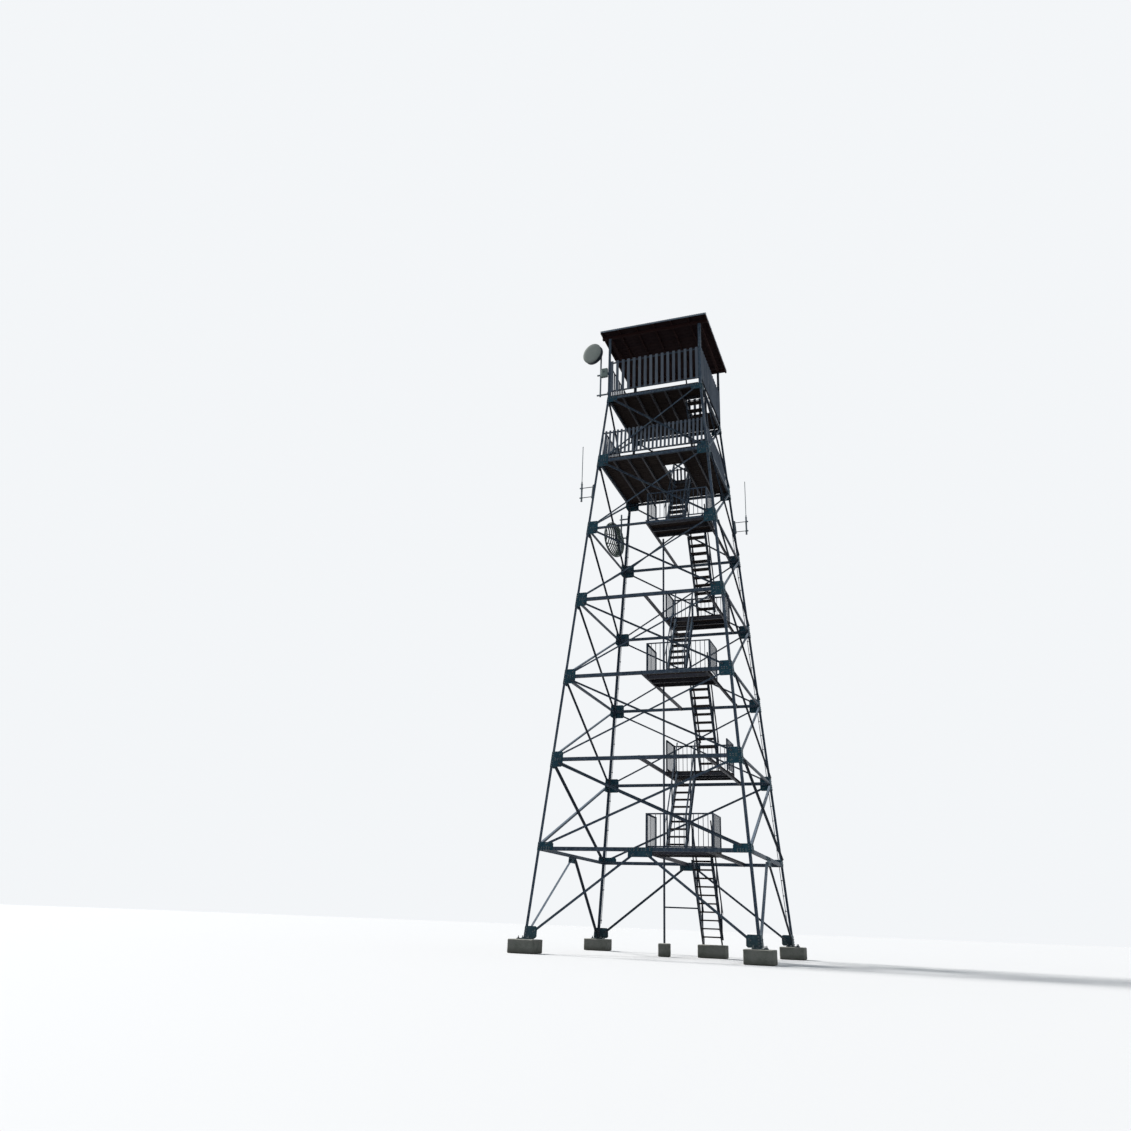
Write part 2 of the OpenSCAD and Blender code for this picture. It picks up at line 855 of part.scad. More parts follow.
// Radio unit in front of the upper arm, between the dish mast and the roof post
module radio_unit()
    color(pale)
    translate([
        dish_mast_x + mast_d / 2 + radio_gap,
        dish_mast_y - rail_w / 2 - radio_d,
        dish_mast_z + dish_arm_z + rail_w / 2 - radio_h / 2
    ])
    cube([dish_mast_out - mast_d / 2 - 1.5 * radio_gap, radio_d, radio_h]);

// A short mast with a whip, on two arms that end on the flange of a leg
module whip(side, turn, z) {
    heel = half_at(z + whip_mast_h / 2);
    outside_face(side)
    rotate([0, 0, turn])
    translate([-heel - leg_mast_out, -heel + leg_w / 2, z]) {
        cylinder(d = mast_d, h = whip_mast_h);
        cylinder(d = whip_d, h = whip_mast_h + whip_h);
        for (share = [0.2, 0.75])
            translate([0, -rail_w / 2, share * whip_mast_h])
            cube([leg_mast_out + leg_w, rail_w, 2 * rail_t]);
    }
}

module whip_antennas()
    color(steel) {
        whip(3, 0, lvl(lower_deck) - 0.58 * panel_h);
        whip(1, 180, lvl(lower_deck) - 0.63 * panel_h);
    }

// Height of the bowl at a point, and half its width at a distance from its middle
function bowl_z(x, y) = bowl_r - sqrt(bowl_r * bowl_r - x * x - y * y);
function bowl_reach(off) = sqrt(grid_d * grid_d / 4 - off * off);

// A bar of the bowl, bent in flats, at a distance from the middle
module bowl_bar(off) {
    xs = [for (k = [-4 : 4]) bowl_reach(off) * k / 4];
    rotate([90, 0, 0])
    translate([0, 0, -grid_bar_w / 2])
    linear_extrude(grid_bar_w)
    polygon(concat(
        [for (x = xs) [x, bowl_z(x, off)]],
        [for (k = [8 : -1 : 0]) [xs[k], bowl_z(xs[k], off) + grid_t]]
    ));
}

module ring_2d(r)
    polygon([for (k = [0 : 31]) r * [cos(k * 360 / 32), sin(k * 360 / 32)]]);

// Grid antenna: a bowl of upright bars on cross ribs, in a rim
module grid_antenna()
    color(pale)
    translate([grid_mast_x - mast_d / 2, grid_y, grid_z])
    rotate([0, -90, -dish_turn]) {
        for (k = [1 : grid_bars]) {
            off = grid_d * (k / (grid_bars + 1) - 0.5);
            translate([0, off, 0])
            bowl_bar(off);
        }
        for (off = [-grid_d / 4, grid_d / 4])
            rotate([0, 0, 90])
            translate([0, off, 0])
            bowl_bar(off);
        translate([0, 0, grid_depth + grid_t - grid_rim_h])
        linear_extrude(grid_rim_h)
        difference() {
            ring_2d(grid_d / 2 + grid_t);
            ring_2d(grid_d / 2 - 2 * grid_t);
        }
    }

footings();
base_plates();
leg(0);  // leg_front_left
leg(1);  // leg_front_right
leg(2);  // leg_back_right
leg(3);  // leg_back_left
girts(0);  // girts_front
girts(1);  // girts_right
girts(2);  // girts_back
girts(3);  // girts_left
braces(0);  // braces_front
braces(1);  // braces_right
braces(2);  // braces_back
braces(3);  // braces_left
gusset_plates();
stair_bearers();
landing_joists();
landings();
landing_rails();
flight(1);  // flight_1
flight(2);  // flight_2
flight(3);  // flight_3
flight(4);  // flight_4
flight(5);  // flight_5
flight(6);  // flight_6
flight(7);  // flight_7
stair_treads();
stair_handrails();
stair_post();
deck_joists();
deck_headers();
deck_floor(lower_deck);  // lower_deck_floor
deck_floor(levels);  // upper_deck_floor
deck_rails();
deck_slats();
roof_posts();
roof_beams();
roof_rafters();
roof_boards();
roof_sheet();
antenna_masts();
dish_antenna();
radio_unit();
grid_antenna();
whip_antennas();
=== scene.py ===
# %% [markdown]
# # A steel fire lookout tower
# The frame of this tower already exists as a solid model. Here it gets its looks: boards replace the
# plain floor slabs, bolts go into the plates, the roof gets its ribbed sheet, and every piece gets a
# weathered finish.

# %% Load the frame
import math
import random
from contextlib import contextmanager

import bpy
import numpy as np
from mathutils import Matrix, Vector


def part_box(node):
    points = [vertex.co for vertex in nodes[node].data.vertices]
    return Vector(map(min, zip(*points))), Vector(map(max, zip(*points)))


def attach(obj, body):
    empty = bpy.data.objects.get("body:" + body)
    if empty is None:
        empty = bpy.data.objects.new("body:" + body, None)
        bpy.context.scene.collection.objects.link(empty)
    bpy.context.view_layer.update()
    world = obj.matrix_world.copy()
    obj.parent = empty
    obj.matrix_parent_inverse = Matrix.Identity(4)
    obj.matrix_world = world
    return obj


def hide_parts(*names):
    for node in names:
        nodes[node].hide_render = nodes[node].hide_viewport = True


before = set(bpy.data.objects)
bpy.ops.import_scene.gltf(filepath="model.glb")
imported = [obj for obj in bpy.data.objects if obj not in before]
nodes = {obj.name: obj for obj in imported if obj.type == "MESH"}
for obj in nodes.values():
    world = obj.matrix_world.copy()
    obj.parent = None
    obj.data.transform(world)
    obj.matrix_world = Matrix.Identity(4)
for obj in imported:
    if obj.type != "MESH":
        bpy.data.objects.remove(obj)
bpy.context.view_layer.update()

print("pieces in the frame:", len(nodes))

# %% [markdown]
# The new pieces have to land exactly on the frame, so its main sizes are written down once, in metres.
# Bolts are easiest to place on a flat drawing of a face, which is then laid on the leaning plane.

# %% Sizes of the frame
BASE_W, TOP_W = 6.2, 3.2
FIRST_PANEL, PANEL, LEVELS = 2.3, 2.44, 7
FOOTING_H = 0.35
LEG_W, LEG_T = 0.075, 0.008
GIRT_H, LIGHT_GIRT_H, GIRT_W, GIRT_T = 0.100, 0.060, 0.060, 0.007
BRACE_T, PLATE_T = 0.006, 0.010
CHANNEL_H, PLANK_T = 0.10, 0.038
POST_W, POST_T = 0.09, 0.007
PLAY = 0.004  # clearance between pieces that lie side by side

LEAN = math.atan((BASE_W - TOP_W) / 2 / (FIRST_PANEL + (LEVELS - 1) * PANEL))


def level(i):
    """Height of a level above the undersides of the footings."""
    return FOOTING_H + (0 if i == 0 else FIRST_PANEL + (i - 1) * PANEL)


def half_at(z):
    """Half the width across the legs at a height above the ground."""
    return BASE_W / 2 - (z - FOOTING_H) * math.tan(LEAN)


def up_face(z):
    """Distance of a height from the foot, measured up a leaning face."""
    return (z - FOOTING_H) / math.cos(LEAN)


def slope(i):
    return up_face(level(i))


def half_width(v):
    """Half the width across the legs at a distance up a leaning face."""
    return BASE_W / 2 - v * math.sin(LEAN)


LEG_TOP = level(LEVELS) + GIRT_H / 2
POST_HEEL = half_at(LEG_TOP)
print("lean of the faces: %.2f degrees" % math.degrees(LEAN))

# %% [markdown]
# A place is a matrix that moves and turns a piece. The four faces are alike, so one matrix a side is
# enough: it stands the flat drawing up, leans it, and turns it round the tower.

# %% Places
def place_at(x=0, y=0, z=0):
    return Matrix.Translation((x, y, z))


def turned(degrees, axis):
    return Matrix.Rotation(math.radians(degrees), 4, axis)


def on_face(side):
    """Lays a flat drawing on a face: x along it, y up its slope, z outwards."""
    return (turned(90 * side, "Z") @ place_at(0, -BASE_W / 2, FOOTING_H)
            @ Matrix.Rotation(math.radians(90) - LEAN, 4, "X"))


print("foot of the right face:", [round(v, 3) for v in on_face(1).translation])

# %% [markdown]
# Every edit in Blender acts on what is selected, so one helper selects the piece to work on. A block is
# a cube that is added at its size and place. Its edges are eased by a bevel, because no real board or
# casting has a knife edge, and the eased edge catches the light.

# %% Blocks and rods
def take(piece):
    """Makes one piece the selected and active one."""
    bpy.ops.object.select_all(action="DESELECT")
    piece.select_set(True)
    bpy.context.view_layer.objects.active = piece


@contextmanager
def editing(piece, choice="SELECT"):
    """Edit mode for a while, with all or nothing selected."""
    take(piece)
    bpy.ops.object.mode_set(mode="EDIT")
    bpy.ops.mesh.select_all(action=choice)
    yield
    bpy.ops.object.mode_set(mode="OBJECT")


def settle(piece):
    """Moves the piece's place, turn and scale into its mesh."""
    take(piece)
    bpy.ops.object.transform_apply(location=True, rotation=True, scale=True)
    return piece


def put(piece, place):
    piece.matrix_world = place
    return settle(piece)


def ease(piece, width):
    """Bevels all the edges."""
    with editing(piece):
        bpy.ops.mesh.bevel(offset=width, segments=1, affect="EDGES")


def just_added(name, eased):
    """Names, settles and eases the primitive that was just added."""
    piece = bpy.context.object
    piece.name = piece.data.name = name
    settle(piece)
    if eased:
        ease(piece, eased)
    return piece


def block(name, low, high, eased=0.003):
    """A box between two corners."""
    low, high = Vector(low), Vector(high)
    bpy.ops.mesh.primitive_cube_add(size=1, location=(low + high) / 2, scale=high - low)
    return just_added(name, eased)


def rod(name, radius, low, high, sides=16, eased=0.0):
    """An upright cylinder between two heights on the z axis."""
    bpy.ops.mesh.primitive_cylinder_add(vertices=sides, radius=radius, depth=high - low,
                                        location=(0, 0, (low + high) / 2))
    return just_added(name, eased)


# %% [markdown]
# A flat end gets a step or a dome when its face is inset and pulled out. An array lays equal parts in a
# row, and a boolean cuts through all that it meets. Modifiers are applied at once, so that the mesh
# really has the shape that is seen.

# %% Ways to shape a piece
def crown(piece, inset, lift, top=True):
    """Insets the topmost or the lowest face and pulls it out."""
    with editing(piece, "DESELECT"):
        bpy.ops.mesh.select_mode(type="FACE")
    way = 1 if top else -1
    end = max(way * f.center.z for f in piece.data.polygons)
    for f in piece.data.polygons:
        f.select = way * f.center.z > end - 0.0001
    bpy.ops.object.mode_set(mode="EDIT")
    bpy.ops.mesh.inset(thickness=inset, depth=lift)
    bpy.ops.object.mode_set(mode="OBJECT")
    return piece


def apply_modifiers(piece):
    take(piece)
    for m in list(piece.modifiers):
        bpy.ops.object.modifier_apply(modifier=m.name)
    return piece


def in_a_row(piece, count, step):
    row = piece.modifiers.new("row", "ARRAY")
    row.count = count
    row.use_relative_offset = False
    row.use_constant_offset = True
    row.constant_offset_displace = step
    return apply_modifiers(piece)


def cut_away(piece, cutters):
    """Cuts blocks out of a piece and throws the cutters away."""
    for cutter in cutters:
        cut = piece.modifiers.new("cut", "BOOLEAN")
        cut.operation = "DIFFERENCE"
        cut.solver = "EXACT"
        cut.object = cutter
    apply_modifiers(piece)
    for cutter in cutters:
        bpy.data.objects.remove(cutter)
    return piece


def smooth(piece, degrees):
    """Shades a piece smoothly but for edges sharper than an angle."""
    take(piece)
    bpy.ops.object.shade_smooth_by_angle(angle=math.radians(degrees))


# %% [markdown]
# Parts that are welded or screwed into one piece are joined. A part that repeats, such as a bolt, is
# modelled once, and its points are written out again for each place, all into one mesh.

# %% Joining and repeating
def join(name, parts):
    take(parts[0])
    for p in parts:
        p.select_set(True)
    bpy.ops.object.join()
    piece = bpy.context.object
    piece.name = piece.data.name = name
    return piece


def add_object(name, data):
    """Puts a new piece, lamp or camera in the scene."""
    thing = bpy.data.objects.new(name, data)
    bpy.context.scene.collection.objects.link(thing)
    return thing


def copies(name, pattern, places):
    """One mesh with the pattern at each place. The pattern itself is used up."""
    points = np.array([v.co for v in pattern.data.vertices])
    faces = [tuple(f.vertices) for f in pattern.data.polygons]
    all_points, all_faces = [], []
    for place in places:
        m = np.array(place)
        start = len(all_points) * len(points)
        all_points.append(points @ m[:3, :3].T + m[:3, 3])
        all_faces.extend(tuple(start + k for k in f) for f in faces)
    mesh = bpy.data.meshes.new(name)
    mesh.from_pydata(np.vstack(all_points).tolist(), [], all_faces)
    mesh.update()
    bpy.data.objects.remove(pattern)
    print("%s: %d copies, %d faces" % (name, len(all_points), len(all_faces)))
    return add_object(name, mesh)


def done(piece, finish, slot="structural_steel", *instead_of):
    """Gives a finished piece its look, and ties it to the tower."""
    piece.data.materials.clear()
    piece.data.materials.append(LOOKS[finish])
    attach(piece, "root")
    if instead_of:
        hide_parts(*instead_of)


def fastened(name, pattern, places):
    """Copies of a bolt, a screw or another small steel piece."""
    done(copies(name, pattern, places), "fastener_steel")


# %% [markdown]
# A weathered finish is layers of noise: large cloudy patches, fine mottling, and streaks where rain ran
# down. Each layer is read at the object's own coordinates in metres, so a patch has the same size on
# every piece, and lays its own tone over those before it.

# %% Helpers for finishes
def srgb(*tone):
    """A colour from 0 to 255, as the linear values that Blender works with."""
    parts = [c / 255 for c in tone]
    return (*[c / 12.92 if c <= 0.04045 else ((c + 0.055) / 1.055) ** 2.4 for c in parts], 1.0)


def add_node(tree, kind, inputs, output=0, **settings):
    """Adds a node, fills its inputs with values or links, and returns an output."""
    node = tree.nodes.new("ShaderNode" + kind)
    for name, value in settings.items():
        setattr(node, name, value)
    for key, value in inputs.items():
        if isinstance(value, bpy.types.NodeSocket):
            tree.links.new(value, node.inputs[key])
        else:
            node.inputs[key].default_value = value
    return node.outputs[output]


LOOKS = {}


class Finish:
    """A material that is built up from layers."""

    def __init__(self, name, tone):
        LOOKS[name] = bpy.data.materials.new(name)
        LOOKS[name].use_nodes = True
        self.tree = LOOKS[name].node_tree
        self.tree.nodes.clear()
        self.where = self.add("TexCoord", {}, "Object")
        self.z = self.add("SeparateXYZ", {0: self.where}, "Z")
        normal = self.add("NewGeometry", {}, "Normal")
        # 0 on an underside and 1 on a top
        self.facing_up = self.band(self.add("SeparateXYZ", {0: normal}, "Z"), -0.6, 0.6)
        self.colour = srgb(*tone)

    def add(self, *what, **settings):
        return add_node(self.tree, *what, **settings)

    def stretched(self, x, y, z):
        return self.add("Mapping", {"Vector": self.where, "Scale": (x, y, z)})

    def noise(self, scale, detail=6, rough=0.6, at=None, warp=0.0):
        return self.add("TexNoise", {"Scale": scale, "Detail": detail, "Roughness": rough,
                                     "Distortion": warp, "Vector": at or self.where}, "Fac")

    def cells(self, scale, output="Distance"):
        return self.add("TexVoronoi", {"Scale": scale, "Vector": self.where}, output)

    def band(self, value, low, high, start=0.0, end=1.0):
        """Maps a value from low..high to start..end, and clamps it."""
        return self.add("MapRange", {0: value, 1: low, 2: high, 3: start, 4: end})

    def math(self, how, *values):
        return self.add("Math", dict(enumerate(values)), operation=how)

    def times(self, a, b):
        return self.math("MULTIPLY", a, b)

    def plus(self, a, b, share):
        """The first value plus a share of the second."""
        return self.math("MULTIPLY_ADD", b, share, a)

    def lay(self, share, tone, how="MIX"):
        """Lays a tone over the colour so far. It is given from 0 to 255 or by a node."""
        tone = srgb(*tone) if isinstance(tone, tuple) else tone
        self.colour = self.add("Mix", {0: share, 6: self.colour, 7: tone}, 2,
                               data_type="RGBA", blend_type=how)

    def tint(self, tone, *band):
        """Lays a tone where a value is in a band."""
        self.lay(self.band(*band), tone)

    def surface(self, roughness, metal, bumps, depth, shine=0.2):
        """Ends the material. The bumps are as deep as given, in metres."""
        relief = self.add("Bump", {"Strength": 1.0, "Distance": depth, "Height": bumps})
        shader = self.add("BsdfPrincipled", {
            "Base Color": self.colour, "Roughness": roughness, "Metallic": metal,
            "Specular IOR Level": shine, "Normal": relief})
        self.tree.links.new(shader, self.tree.nodes.new("ShaderNodeOutputMaterial").inputs[0])


# %% [markdown]
# The angles are galvanised steel, but their tones are darker and bluer than the zinc is: that darkness
# is painted shade. Zinc shows as a faint mosaic of crystals, and rain leaves pale streaks. Rust starts in
# freckles and runs down in thin tears, most of all near the joints, where water stands behind the plates.
# Tops are lighter, which is painted light and some bleaching, and undersides are darker, which is painted
# shade and some dirt. The foot is splashed with soil. The plates were painted, so they are flatter and
# greener.

# %% Weathered steel
# The third tone is painted shade for the undersides, with some dirt.
RUST, RUN_OFF, UNDERSIDE_SHADE_AND_GRIME, SOIL = (104, 58, 34), (116, 82, 60), (44, 46, 54), (92, 84, 70)


def weathered_steel(name, dark, mid, light, rust_share, metal):
    f = Finish(name, dark)
    patches = f.noise(0.9, detail=5)
    mottle = f.noise(14, rough=0.7)
    f.tint(mid, patches, 0.34, 0.66)
    f.tint(light, mottle, 0.45, 0.75, 0, 0.55)
    f.tint(light, f.noise(1.0, detail=4, at=f.stretched(9, 9, 0.7)), 0.54, 0.76, 0, 0.5)
    f.lay(0.10, f.cells(42, "Color"), "OVERLAY")
    # Painted light: tops get the light tone, partly as bleaching.
    f.tint(light, f.facing_up, 0.6, 1, 0, 0.35)
    # Painted shade: undersides get a dark blue-grey, partly as dirt.
    f.tint(UNDERSIDE_SHADE_AND_GRIME, f.facing_up, 0, 0.45, 0.6, 0)
    # How near a level with its plates is: 1 there, and 0 between them
    steps = f.math("DIVIDE", f.math("SUBTRACT", f.z, level(1)), PANEL)
    near_joint = f.band(f.math("PINGPONG", steps, 0.5), 0.03, 0.2, 1, 0)
    where_rust = f.plus(f.band(f.noise(1.7, detail=3), 0.5, 0.65, 0.1, rust_share),
                        near_joint, 0.35 * rust_share)
    freckles = f.times(f.band(f.noise(26, detail=8, rough=0.8), 0.60, 0.72), where_rust)
    drips = f.noise(3.0, detail=5, at=f.stretched(11, 11, 0.5))
    f.lay(f.times(f.band(drips, 0.60, 0.74, 0, 0.7), where_rust), RUN_OFF)
    f.lay(freckles, RUST)
    f.tint(SOIL, f.z, 0.35, 0.95, 0.35, 0)
    rough = f.plus(f.band(patches, 0.3, 0.7, 0.48, 0.66), freckles, 0.3)
    f.surface(rough, metal, f.plus(f.times(mottle, 0.6), freckles, 0.8), 0.0012)


# The dark blue tones of the members, plates and rails are painted shade: galvanised steel is lighter.
# name: dark, middle and light tone, share of rust, share of bare metal
STEELS = {
    "weathered_steel": ((42, 58, 76), (76, 93, 111), (146, 159, 170), 0.5, 0.06),
    "plate_steel": ((16, 56, 74), (34, 82, 98), (96, 132, 142), 0.5, 0.04),
    "rail_steel": ((38, 51, 68), (68, 82, 99), (130, 141, 152), 0.7, 0.05),
    # The joists' darker grey is painted shade under the floors.
    "shaded_joist_steel": ((52, 54, 62), (70, 70, 78), (100, 100, 106), 0.8, 0.04),
    "fastener_steel": ((88, 98, 104), (116, 126, 132), (158, 164, 168), 0.9, 0.2),
    "mast_steel": ((98, 108, 116), (126, 136, 142), (168, 175, 179), 0.3, 0.2),
    "grid_metal": ((60, 76, 72), (80, 98, 90), (124, 138, 130), 0.15, 0.06),
}
for name, look in STEELS.items():
    weathered_steel(name, *look)
print("steel finishes:", len(LOOKS))

# %% [markdown]
# Floor boards, treads, slats and roof boards are sawn timber. The grain is noise that is stretched along
# the board, so each use needs its own direction. Every board also has its own tone.

# %% Weathered timber
# A dark purple tone for the undersides of the boards: painted shade.
UNDERSIDE_SHADE = (24, 18, 22)


def weathered_timber(name, along, dark, mid, light, boards=True):
    f = Finish(name, dark)
    at = f.stretched(*[0.7 if axis == along else 11 for axis in "xyz"])
    grain = f.noise(2.2, detail=9, rough=0.7, at=at, warp=0.4)
    fine = f.noise(9, detail=5, rough=0.8, at=at)
    f.tint(mid, grain, 0.32, 0.7)
    f.tint(light, fine, 0.5, 0.78, 0, 0.6)
    f.tint(dark, f.noise(1.6, detail=4), 0.42, 0.7, 0, 0.5)
    if boards:
        f.tint(light, f.add("NewGeometry", {}, "Random Per Island"), 0, 1, 0, 0.4)
    # Painted shade: the undersides of the boards are darkened.
    f.tint(UNDERSIDE_SHADE, f.facing_up, 0, 0.4, 0.35, 0)
    bumps = f.plus(f.times(grain, 0.5), f.band(fine, 0.30, 0.42), 0.5)
    f.surface(f.band(fine, 0.3, 0.7, 0.75, 0.92), 0.0, bumps, 0.0016, 0.1)


# name: direction of the grain, dark, middle and light tone
TIMBERS = {
    "floor_timber": ("x", (44, 36, 34), (66, 55, 50), (98, 86, 78)),
    "tread_timber": ("x", (46, 40, 40), (68, 60, 58), (104, 96, 92)),
    "slat_timber": ("z", (108, 116, 128), (140, 148, 160), (176, 181, 188)),
    "rafter_timber": ("y", (42, 26, 26), (62, 38, 36), (86, 60, 54), False),
    "roof_timber": ("x", (36, 22, 26), (54, 34, 36), (76, 54, 52)),
}
for name, look in TIMBERS.items():
    weathered_timber(name, *look)
print("finishes with timber:", len(LOOKS))

# %% [markdown]
# The footings are rough cast concrete, pale on top, and dark green with algae near the ground. The roof
# sheet is dull zinc, with brown runs down its slope and dirt that has dried in rings.

# %% Concrete and roof sheet
f = Finish("rough_concrete", (166, 162, 151))
sand = f.noise(90, rough=0.8)
patches = f.noise(3.5, rough=0.65)
f.tint((200, 196, 184), patches, 0.35, 0.68)
f.tint((220, 216, 205), sand, 0.4, 0.75, 0, 0.5)
f.lay(f.times(f.band(f.facing_up, 0.55, 0.95, 1, 0.15), f.band(patches, 0.4, 0.65, 0.05, 0.6)),
      (92, 100, 80))
f.tint((78, 74, 58), f.z, 0.0, 0.16, 0.6, 0)
f.surface(0.93, 0.0, f.plus(f.times(f.cells(70), 0.6), sand, 0.5), 0.004)

f = Finish("roof_metal", (84, 98, 112))
streaks = f.noise(1.3, detail=5, at=f.stretched(7, 0.5, 7))
patches = f.noise(1.2)
f.tint((122, 134, 144), patches, 0.35, 0.7)
f.tint((104, 84, 70), streaks, 0.54, 0.75, 0, 0.6)
f.tint((84, 82, 70), f.cells(9), 0.02, 0.12, 0.25, 0)
f.surface(f.band(streaks, 0.3, 0.7, 0.35, 0.6), 0.45, patches, 0.002)
print("finishes with these two:", len(LOOKS))

# %% [markdown]
# The covers are moulded plastic: nearly even in colour, with a little chalking and dirt that ran down.
# The drum behind the dish is made nearly black, which is painted shade on its side and back.

# %% Antenna covers
def moulded_cover(name, clean, chalky, grime):
    f = Finish(name, clean)
    clouds = f.noise(5, detail=5)
    f.tint(chalky, clouds, 0.35, 0.7)
    f.tint(grime, f.noise(1.6, detail=4, at=f.stretched(14, 14, 1.2)), 0.56, 0.8, 0, 0.45)
    f.surface(f.band(clouds, 0.3, 0.7, 0.5, 0.66), 0.0, f.noise(120, detail=3), 0.0004)


moulded_cover("dish_cover", (176, 182, 172), (192, 196, 186), (130, 134, 118))
moulded_cover("radio_cover", (160, 176, 166), (178, 190, 182), (122, 130, 118))
# Painted shade: the shroud's near-black tone.
moulded_cover("shroud_painted_shade", (32, 38, 48), (48, 55, 64), (58, 54, 50))
print("all finishes:", len(LOOKS))

# %% [markdown]
# Most of the frame is already shaped right, and those pieces only get their finish: plain weathered
# steel, unless they are listed here. The others, such as the floors, are replaced by new pieces below.

# %% Dress the frame
FINISH_OF = {
    "plate_steel": ["gusset_plates", "base_plates"],
    "rail_steel": ["landing_rails", "deck_rails", "stair_handrails", "stair_post"],
    "shaded_joist_steel": ["stair_bearers", "landing_joists", "deck_joists", "deck_headers"],
    "mast_steel": ["antenna_masts", "whip_antennas"],
    "rafter_timber": ["roof_beams", "roof_rafters"],
}
for name, node in nodes.items():
    finish = next((f for f, names in FINISH_OF.items() if name in names), "weathered_steel")
    node.data.materials.clear()
    node.data.materials.append(LOOKS[finish])
print("dressed:", len(nodes))

# %% [markdown]
# A landing is seven boards side by side with narrow gaps, through which daylight shows from below. One
# board is made and eased, an array lays the rest beside it, and each landing gets its own copy.

# %% Boards of the landings
BOARD_W, BOARD_GAP, LANDING_D = 0.145, 0.007, 1.05
floor_low, floor_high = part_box("landings")


def board_rows(front, back, about=BOARD_W):
    """How many boards fill a depth, and the step from one to the next."""
    count = round((back - front + BOARD_GAP) / about)
    return count, (back - front + BOARD_GAP) / count


def boarded(name, low, high, about=BOARD_W):
    """A floor of boards that run along x, side by side from front to back."""
    count, step = board_rows(low[1], high[1], about)
    first = block(name, low, (high[0], low[1] + step - BOARD_GAP, high[2]))
    return in_a_row(first, count, (0, step, 0))


def floor_level(i):
    """Height of a floor's surface. Its channels stand in the girts."""
    seat = level(i) - (GIRT_H / 2 - GIRT_T) * math.cos(LEAN) - GIRT_T * math.sin(LEAN)
    return seat + CHANNEL_H + PLANK_T


def landing_y(i):
    """Front edge of a landing, in front or at the back of the stair by turns."""
    return floor_low.y if i % 2 else floor_high.y - LANDING_D


landing = boarded("landing_boards", (floor_low.x, 0, -PLANK_T), (floor_high.x, LANDING_D, 0))
places = [place_at(0, landing_y(i), floor_level(i)) for i in range(1, 6)]
done(copies("landing_boards", landing, places), "floor_timber", "timber_planks", "landings")

# %% [markdown]
# The decks are boarded in the same way, then cut round the corner posts and the opening over the stair.
# A boolean is the right tool for that, because it cuts every board that it meets.

# %% Boards of the two decks
WELL_Y = (-0.80, 0.45)
WELL_GAP, LANE_MARGIN, LANE_GAP = 0.03, 0.13, 0.10
FLIGHT_W, FLIGHT_FOOT = 0.59, 0.15
LANE_RIGHT = TOP_W / 2 - LANE_MARGIN - FLIGHT_W
LANE_LEFT = LANE_RIGHT - LANE_GAP - FLIGHT_W
DECKS = (("lower_deck", 6, LANE_LEFT), ("upper_deck", 7, LANE_RIGHT))
NOTCH = POST_W + PLAY

for deck, i, lane in DECKS:
    low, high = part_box(deck + "_floor")
    floor = boarded(deck + "_boards", low, high)
    cuts = [(x - NOTCH, y - NOTCH, x + NOTCH, y + NOTCH)
            for x in (-high.x, high.x) for y in (-high.y, high.y)]
    cuts.append((lane - WELL_GAP, WELL_Y[0], lane + FLIGHT_W + WELL_GAP, WELL_Y[1]))
    cut_away(floor, [block("cutter", (x0, y0, low.z - 0.1), (x1, y1, high.z + 0.1), 0)
                     for x0, y0, x1, y1 in cuts])
    done(floor, "floor_timber", "timber_planks", deck + "_floor")
    print(deck, "boards:", len(floor.data.polygons), "faces")

# %% [markdown]
# From below one sees dark boards across the rafters. On top lies a ribbed sheet whose ribs run front to
# back, so that rain drains, and a folded trim closes the ends of the boards. The ribs are a plane that
# is cut into strips and lifted into waves, then given its thickness.

# %% Roof boards and roof sheet
ROOF_BOARD_W = 0.19
RIB_PITCH, RIB_RISE, RIB_STRIPS, SHEET_T = 0.0762, 0.007, 384, 0.0012
TRIM_T = 0.003

done(boarded("roof_boards_laid", *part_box("roof_boards"), ROOF_BOARD_W),
     "roof_timber", "roof_timber", "roof_boards")

low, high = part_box("roof_sheet")
bpy.ops.mesh.primitive_grid_add(x_subdivisions=RIB_STRIPS, y_subdivisions=2, size=1,
                                location=(0, 0, high.z + 0.001))
bpy.context.object.scale = (high.x - low.x, high.y - low.y, 1)
ribs = just_added("roof_ribs", 0)
for v in ribs.data.vertices:
    v.co.z += RIB_RISE * math.cos(2 * math.pi * v.co.x / RIB_PITCH)
ribs.modifiers.new("sheet", "SOLIDIFY").thickness = SHEET_T
smooth(apply_modifiers(ribs), 40)

trim = block("roof_trim", low, (high.x, high.y, high.z - 0.002), 0)
cut_away(trim, [block("cutter", (low.x + TRIM_T, low.y + TRIM_T, low.z - 0.1),
                      (high.x - TRIM_T, high.y - TRIM_T, high.z - 0.002 - TRIM_T), 0)])
ease(trim, 0.001)
roof_cover = join("roof_cover", [trim, ribs])
done(roof_cover, "roof_metal", "roof_sheet", "roof_sheet")
print("roof cover:", len(roof_cover.data.polygons), "faces")

# %% [markdown]
# The blocks were cast in rough forms: their edges are broken and their sides are not quite flat. Each
# is bevelled, cut into a fine grid, and pushed about a few millimetres with a cloud texture. The legs
# stand on four square blocks, the stair and the slender post beside it on smaller ones.

# %% Footings
def cast_block(x, y, reach_x, reach_y):
    piece = block("pad", (x - reach_x, y - reach_y, 0), (x + reach_x, y + reach_y, FOOTING_H), 0.018)
    with editing(piece):
        bpy.ops.mesh.subdivide(number_cuts=9)
    clouds = bpy.data.textures.new("cast_clouds", "CLOUDS")
    clouds.noise_scale = 0.11
    rough = piece.modifiers.new("rough", "DISPLACE")
    rough.texture = clouds
    rough.texture_coords = "GLOBAL"
    rough.strength = 0.012
    rough.mid_level = 0.9
    apply_modifiers(piece)
    for v in piece.data.vertices:
        v.co.z = min(max(v.co.z, 0), FOOTING_H)
    return piece


